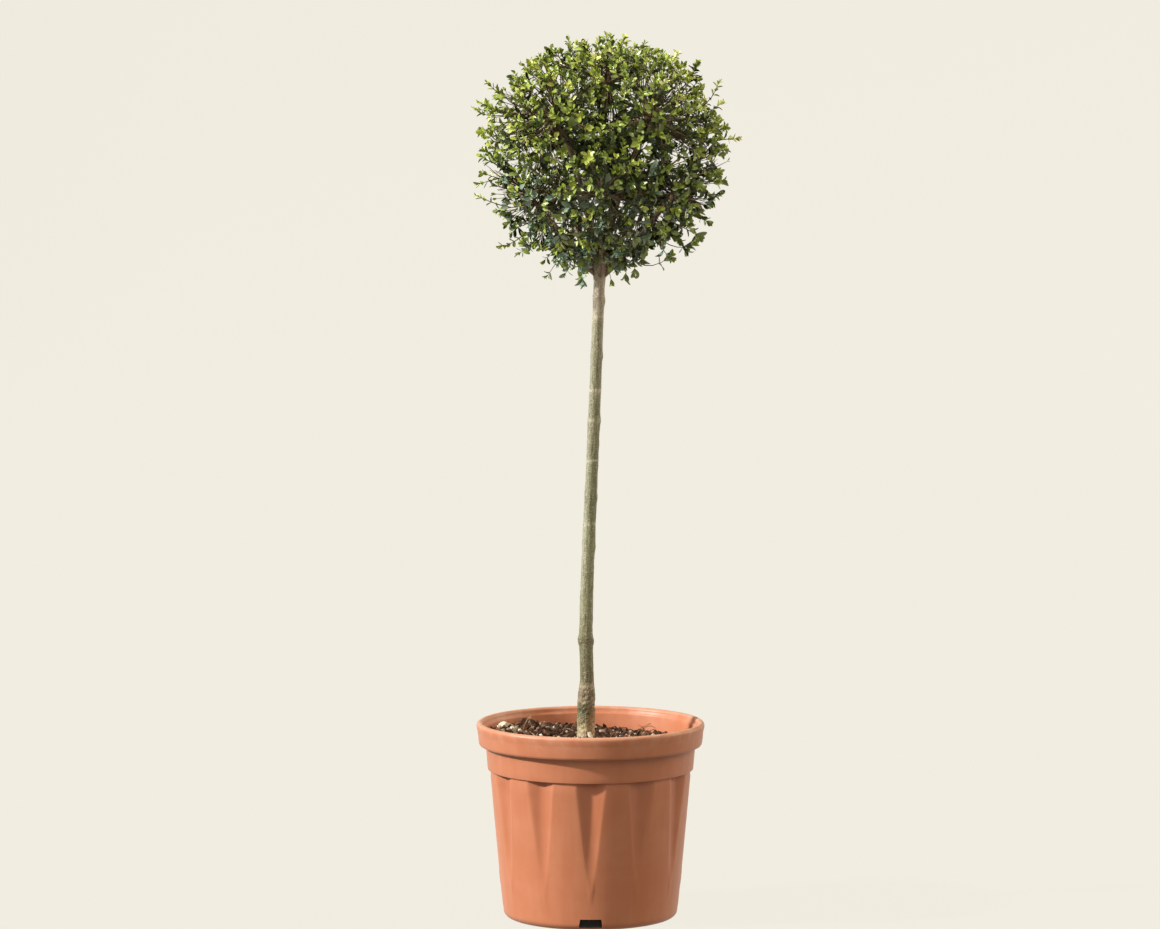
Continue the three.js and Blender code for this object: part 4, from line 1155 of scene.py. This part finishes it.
def makeLeaves(laid):
    # root + length (u axis + v width/2 across + (fold |v| width - curl u^2) face), sorted by tint, which is
    # the twig's tone plus what the pair's age adds, to the nearest whole number
    root, axis, face, length, kept = layLeaves(laid)
    dice = np.random.default_rng(sprays["seed"] + 2)
    rank = laid["tone"][:, None] + np.array(leaves["older"])[None]
    tint = np.clip(np.round(rank), 0, len(tints) - 2).astype(int)
    cool = dice.random(len(tint)) < laid["blue"]
    tint[cool[:, None] & (tint >= leaves["coolFrom"])] = len(tints) - 1
    tint = np.broadcast_to(tint[..., None], kept.shape)[kept]
    root, axis, face, length = root[kept], axis[kept], face[kept], length[kept]
    u, v, quads, tips = leafSheet()
    across = np.cross(face, axis)
    width = leaves["width"] * np.exp(dice.normal(0, leaves["widthVary"], len(length)))
    fold = leaves["fold"] * dice.uniform(*leaves["foldVary"], len(length))
    curl = leaves["curl"] * dice.uniform(*leaves["curlVary"], len(length))
    side = v[None] * width[:, None] / 2
    lift = np.abs(side) * fold[:, None] * 2 - curl[:, None] * u[None] ** 2
    points = root[:, None] + length[:, None, None] * (
        u[None, :, None] * axis[:, None] + side[..., None] * across[:, None]
        + lift[..., None] * face[:, None])
    print("leaves", len(length))
    for number, (name, colour, gloss) in enumerate(tints):
        some = points[tint == number]
        faces = [repeated(quads, len(some), len(u)), repeated(tips, len(some), len(u))]
        makePiece("leaves_" + name, some, faces, leafFinish(name, colour, gloss), foliageNodes)


def leafFinish(name, colour, gloss):
    # one plain colour for each sort of leaf; old leaves are the glossier ones
    return Finish("leaf_" + name).surface({
        "Base Color": paint(*colour), "Roughness": leaves["roughness"], "Specular IOR Level": gloss})


def twigFinish():
    # young wood: brown, greener where a cloudy pattern is high
    finish = Finish("twigBark")
    patches = finish.noise(60.0, 3.0)
    return finish.surface({
        "Base Color": finish.mix(finish.mask(patches, 0.4, 0.62), paint(98, 78, 52), paint(78, 80, 44)),
        "Roughness": patches * 0.2 + 0.5,
    })


def makeTwigs(laid):
    # tubes along curves from start to end: boughs and shoots taper from the fork to the leaves, and each
    # spray's twig is the thinnest; boughs have a relief across their bark
    sides = crown["boughSides"]
    paths = curved(starts, bends, hearts, crown["boughRows"])
    points, faces = tubes(paths, crown["boughRadius"], sides)
    rise, size = crown["boughRelief"]
    relief = rise * ripple(points * [1, 1, 0.5], size, 12)[..., None]
    points[:, :-2] += unit(points[:, :-2] - np.repeat(paths, sides, axis=1)) * relief[:, :-2]
    boughNodes = [n for n in nodeNames if n.startswith("bough")]
    makePiece("boughs_bark", points, faces, barkFinish("boughBark", False), boughNodes)
    paths = curved(shootStarts, shootBends, shootTips, crown["shootRows"])
    points, faces = tubes(paths, crown["shootRadius"], crown["shootSides"])
    makePiece("shoots_bark", points, faces, barkFinish("shootBark", False), foliageNodes)
    paths = curved(laid["foot"], laid["bend"], laid["tip"], sprays["rows"])
    points, faces = tubes(paths, sprays["radius"], sprays["sides"])
    makePiece("twigs", points, faces, twigFinish(), foliageNodes)


print("crown")
foliageNodes = [n for n in nodeNames if n.startswith("foliage")]
laidSprays = laySprays()
makeTwigs(laidSprays)
makeLeaves(laidSprays)

# Studio
studio = {
    "floor": (1.5, 4.0, 6.6), "bend": 1.4, "wallHeight": 2.3, "columns": 96,  # metres
    "sheet": paint(242, 237, 225), "glow": 0.965, "diffuse": 0.02,  # it glows, and takes almost no shadow
    "world": paint(246, 227, 184), "worldStrength": 0.2,
    "lights": [  # name, where it shines from, strength, how wide it looks in degrees, colour
        ("keyWindow", (-0.82, -0.23, 0.52), 4.4, 3.5, (1.0, 0.98, 0.94)),
        ("skyWindow", (-0.2, -0.4, 0.86), 1.4, 80.0, (1.0, 0.94, 0.82)),
        ("fillWindow", (0.55, -0.8, 0.3), 0.27, 60.0, (1.0, 0.9, 0.74)),
        ("rimWindow", (0.88, 0.34, 0.3), 2.1, 40.0, (1.0, 0.885, 0.68)),
    ],
}


def makeStudio():
    # a pale bowl: a round floor, a quarter turn and an upright wall, turned about the axis
    bend, (inner, middle, radius) = studio["bend"], studio["floor"]
    profile = np.concatenate([
        [[inner, 0.0], [middle, 0.0]],
        arc(radius, bend, bend, -90, 0, 16),
        [[radius + bend, studio["wallHeight"]]],
    ])
    rings = spun(profile[:, :1], around(studio["columns"]), profile[:, 1:])
    quads = gridFaces(*rings.shape[:2]).reshape(-1, 4)[:, ::-1]
    disc = np.arange(studio["columns"])
    mesh = bpy.data.meshes.new("studioFloor")
    mesh.from_pydata(rings.reshape(-1, 3).tolist(), [], quads.tolist() + [disc.tolist()])
    mesh.polygons.foreach_set("use_smooth", np.ones(len(mesh.polygons), bool))
    finish = Finish("studioFloor")
    base = [c * studio["diffuse"] for c in studio["sheet"][:3]] + [1.0]
    mesh.materials.append(finish.surface({
        "Base Color": base, "Roughness": 0.9, "Specular IOR Level": 0.0,
        "Emission Color": studio["sheet"], "Emission Strength": studio["glow"],
    }))
    sheet = bpy.data.objects.new("studioFloor", mesh)
    sheet.visible_diffuse = False  # the plant is lit by the lights and the world alone
    bpy.context.scene.collection.objects.link(sheet)


def makeLight():
    # an even glow from all round, and suns turned so that each shines from its direction
    world = bpy.data.worlds.new("studioWorld")
    world.use_nodes = True
    background = world.node_tree.nodes["Background"]
    background.inputs["Color"].default_value = studio["world"]
    background.inputs["Strength"].default_value = studio["worldStrength"]
    bpy.context.scene.world = world
    for name, way, strength, width, colour in studio["lights"]:
        data = bpy.data.lights.new(name, "SUN")
        data.energy, data.angle, data.color = strength, math.radians(width), colour
        light = bpy.data.objects.new(name, data)
        tilt, turn = math.atan2(math.hypot(way[0], way[1]), way[2]), math.atan2(way[0], -way[1])
        light.rotation_euler = (tilt, 0, turn)
        bpy.context.scene.collection.objects.link(light)


print("studio")
makeStudio()
makeLight()
bpy.context.scene.view_settings.view_transform = "Standard"

bpy.context.view_layer.update()
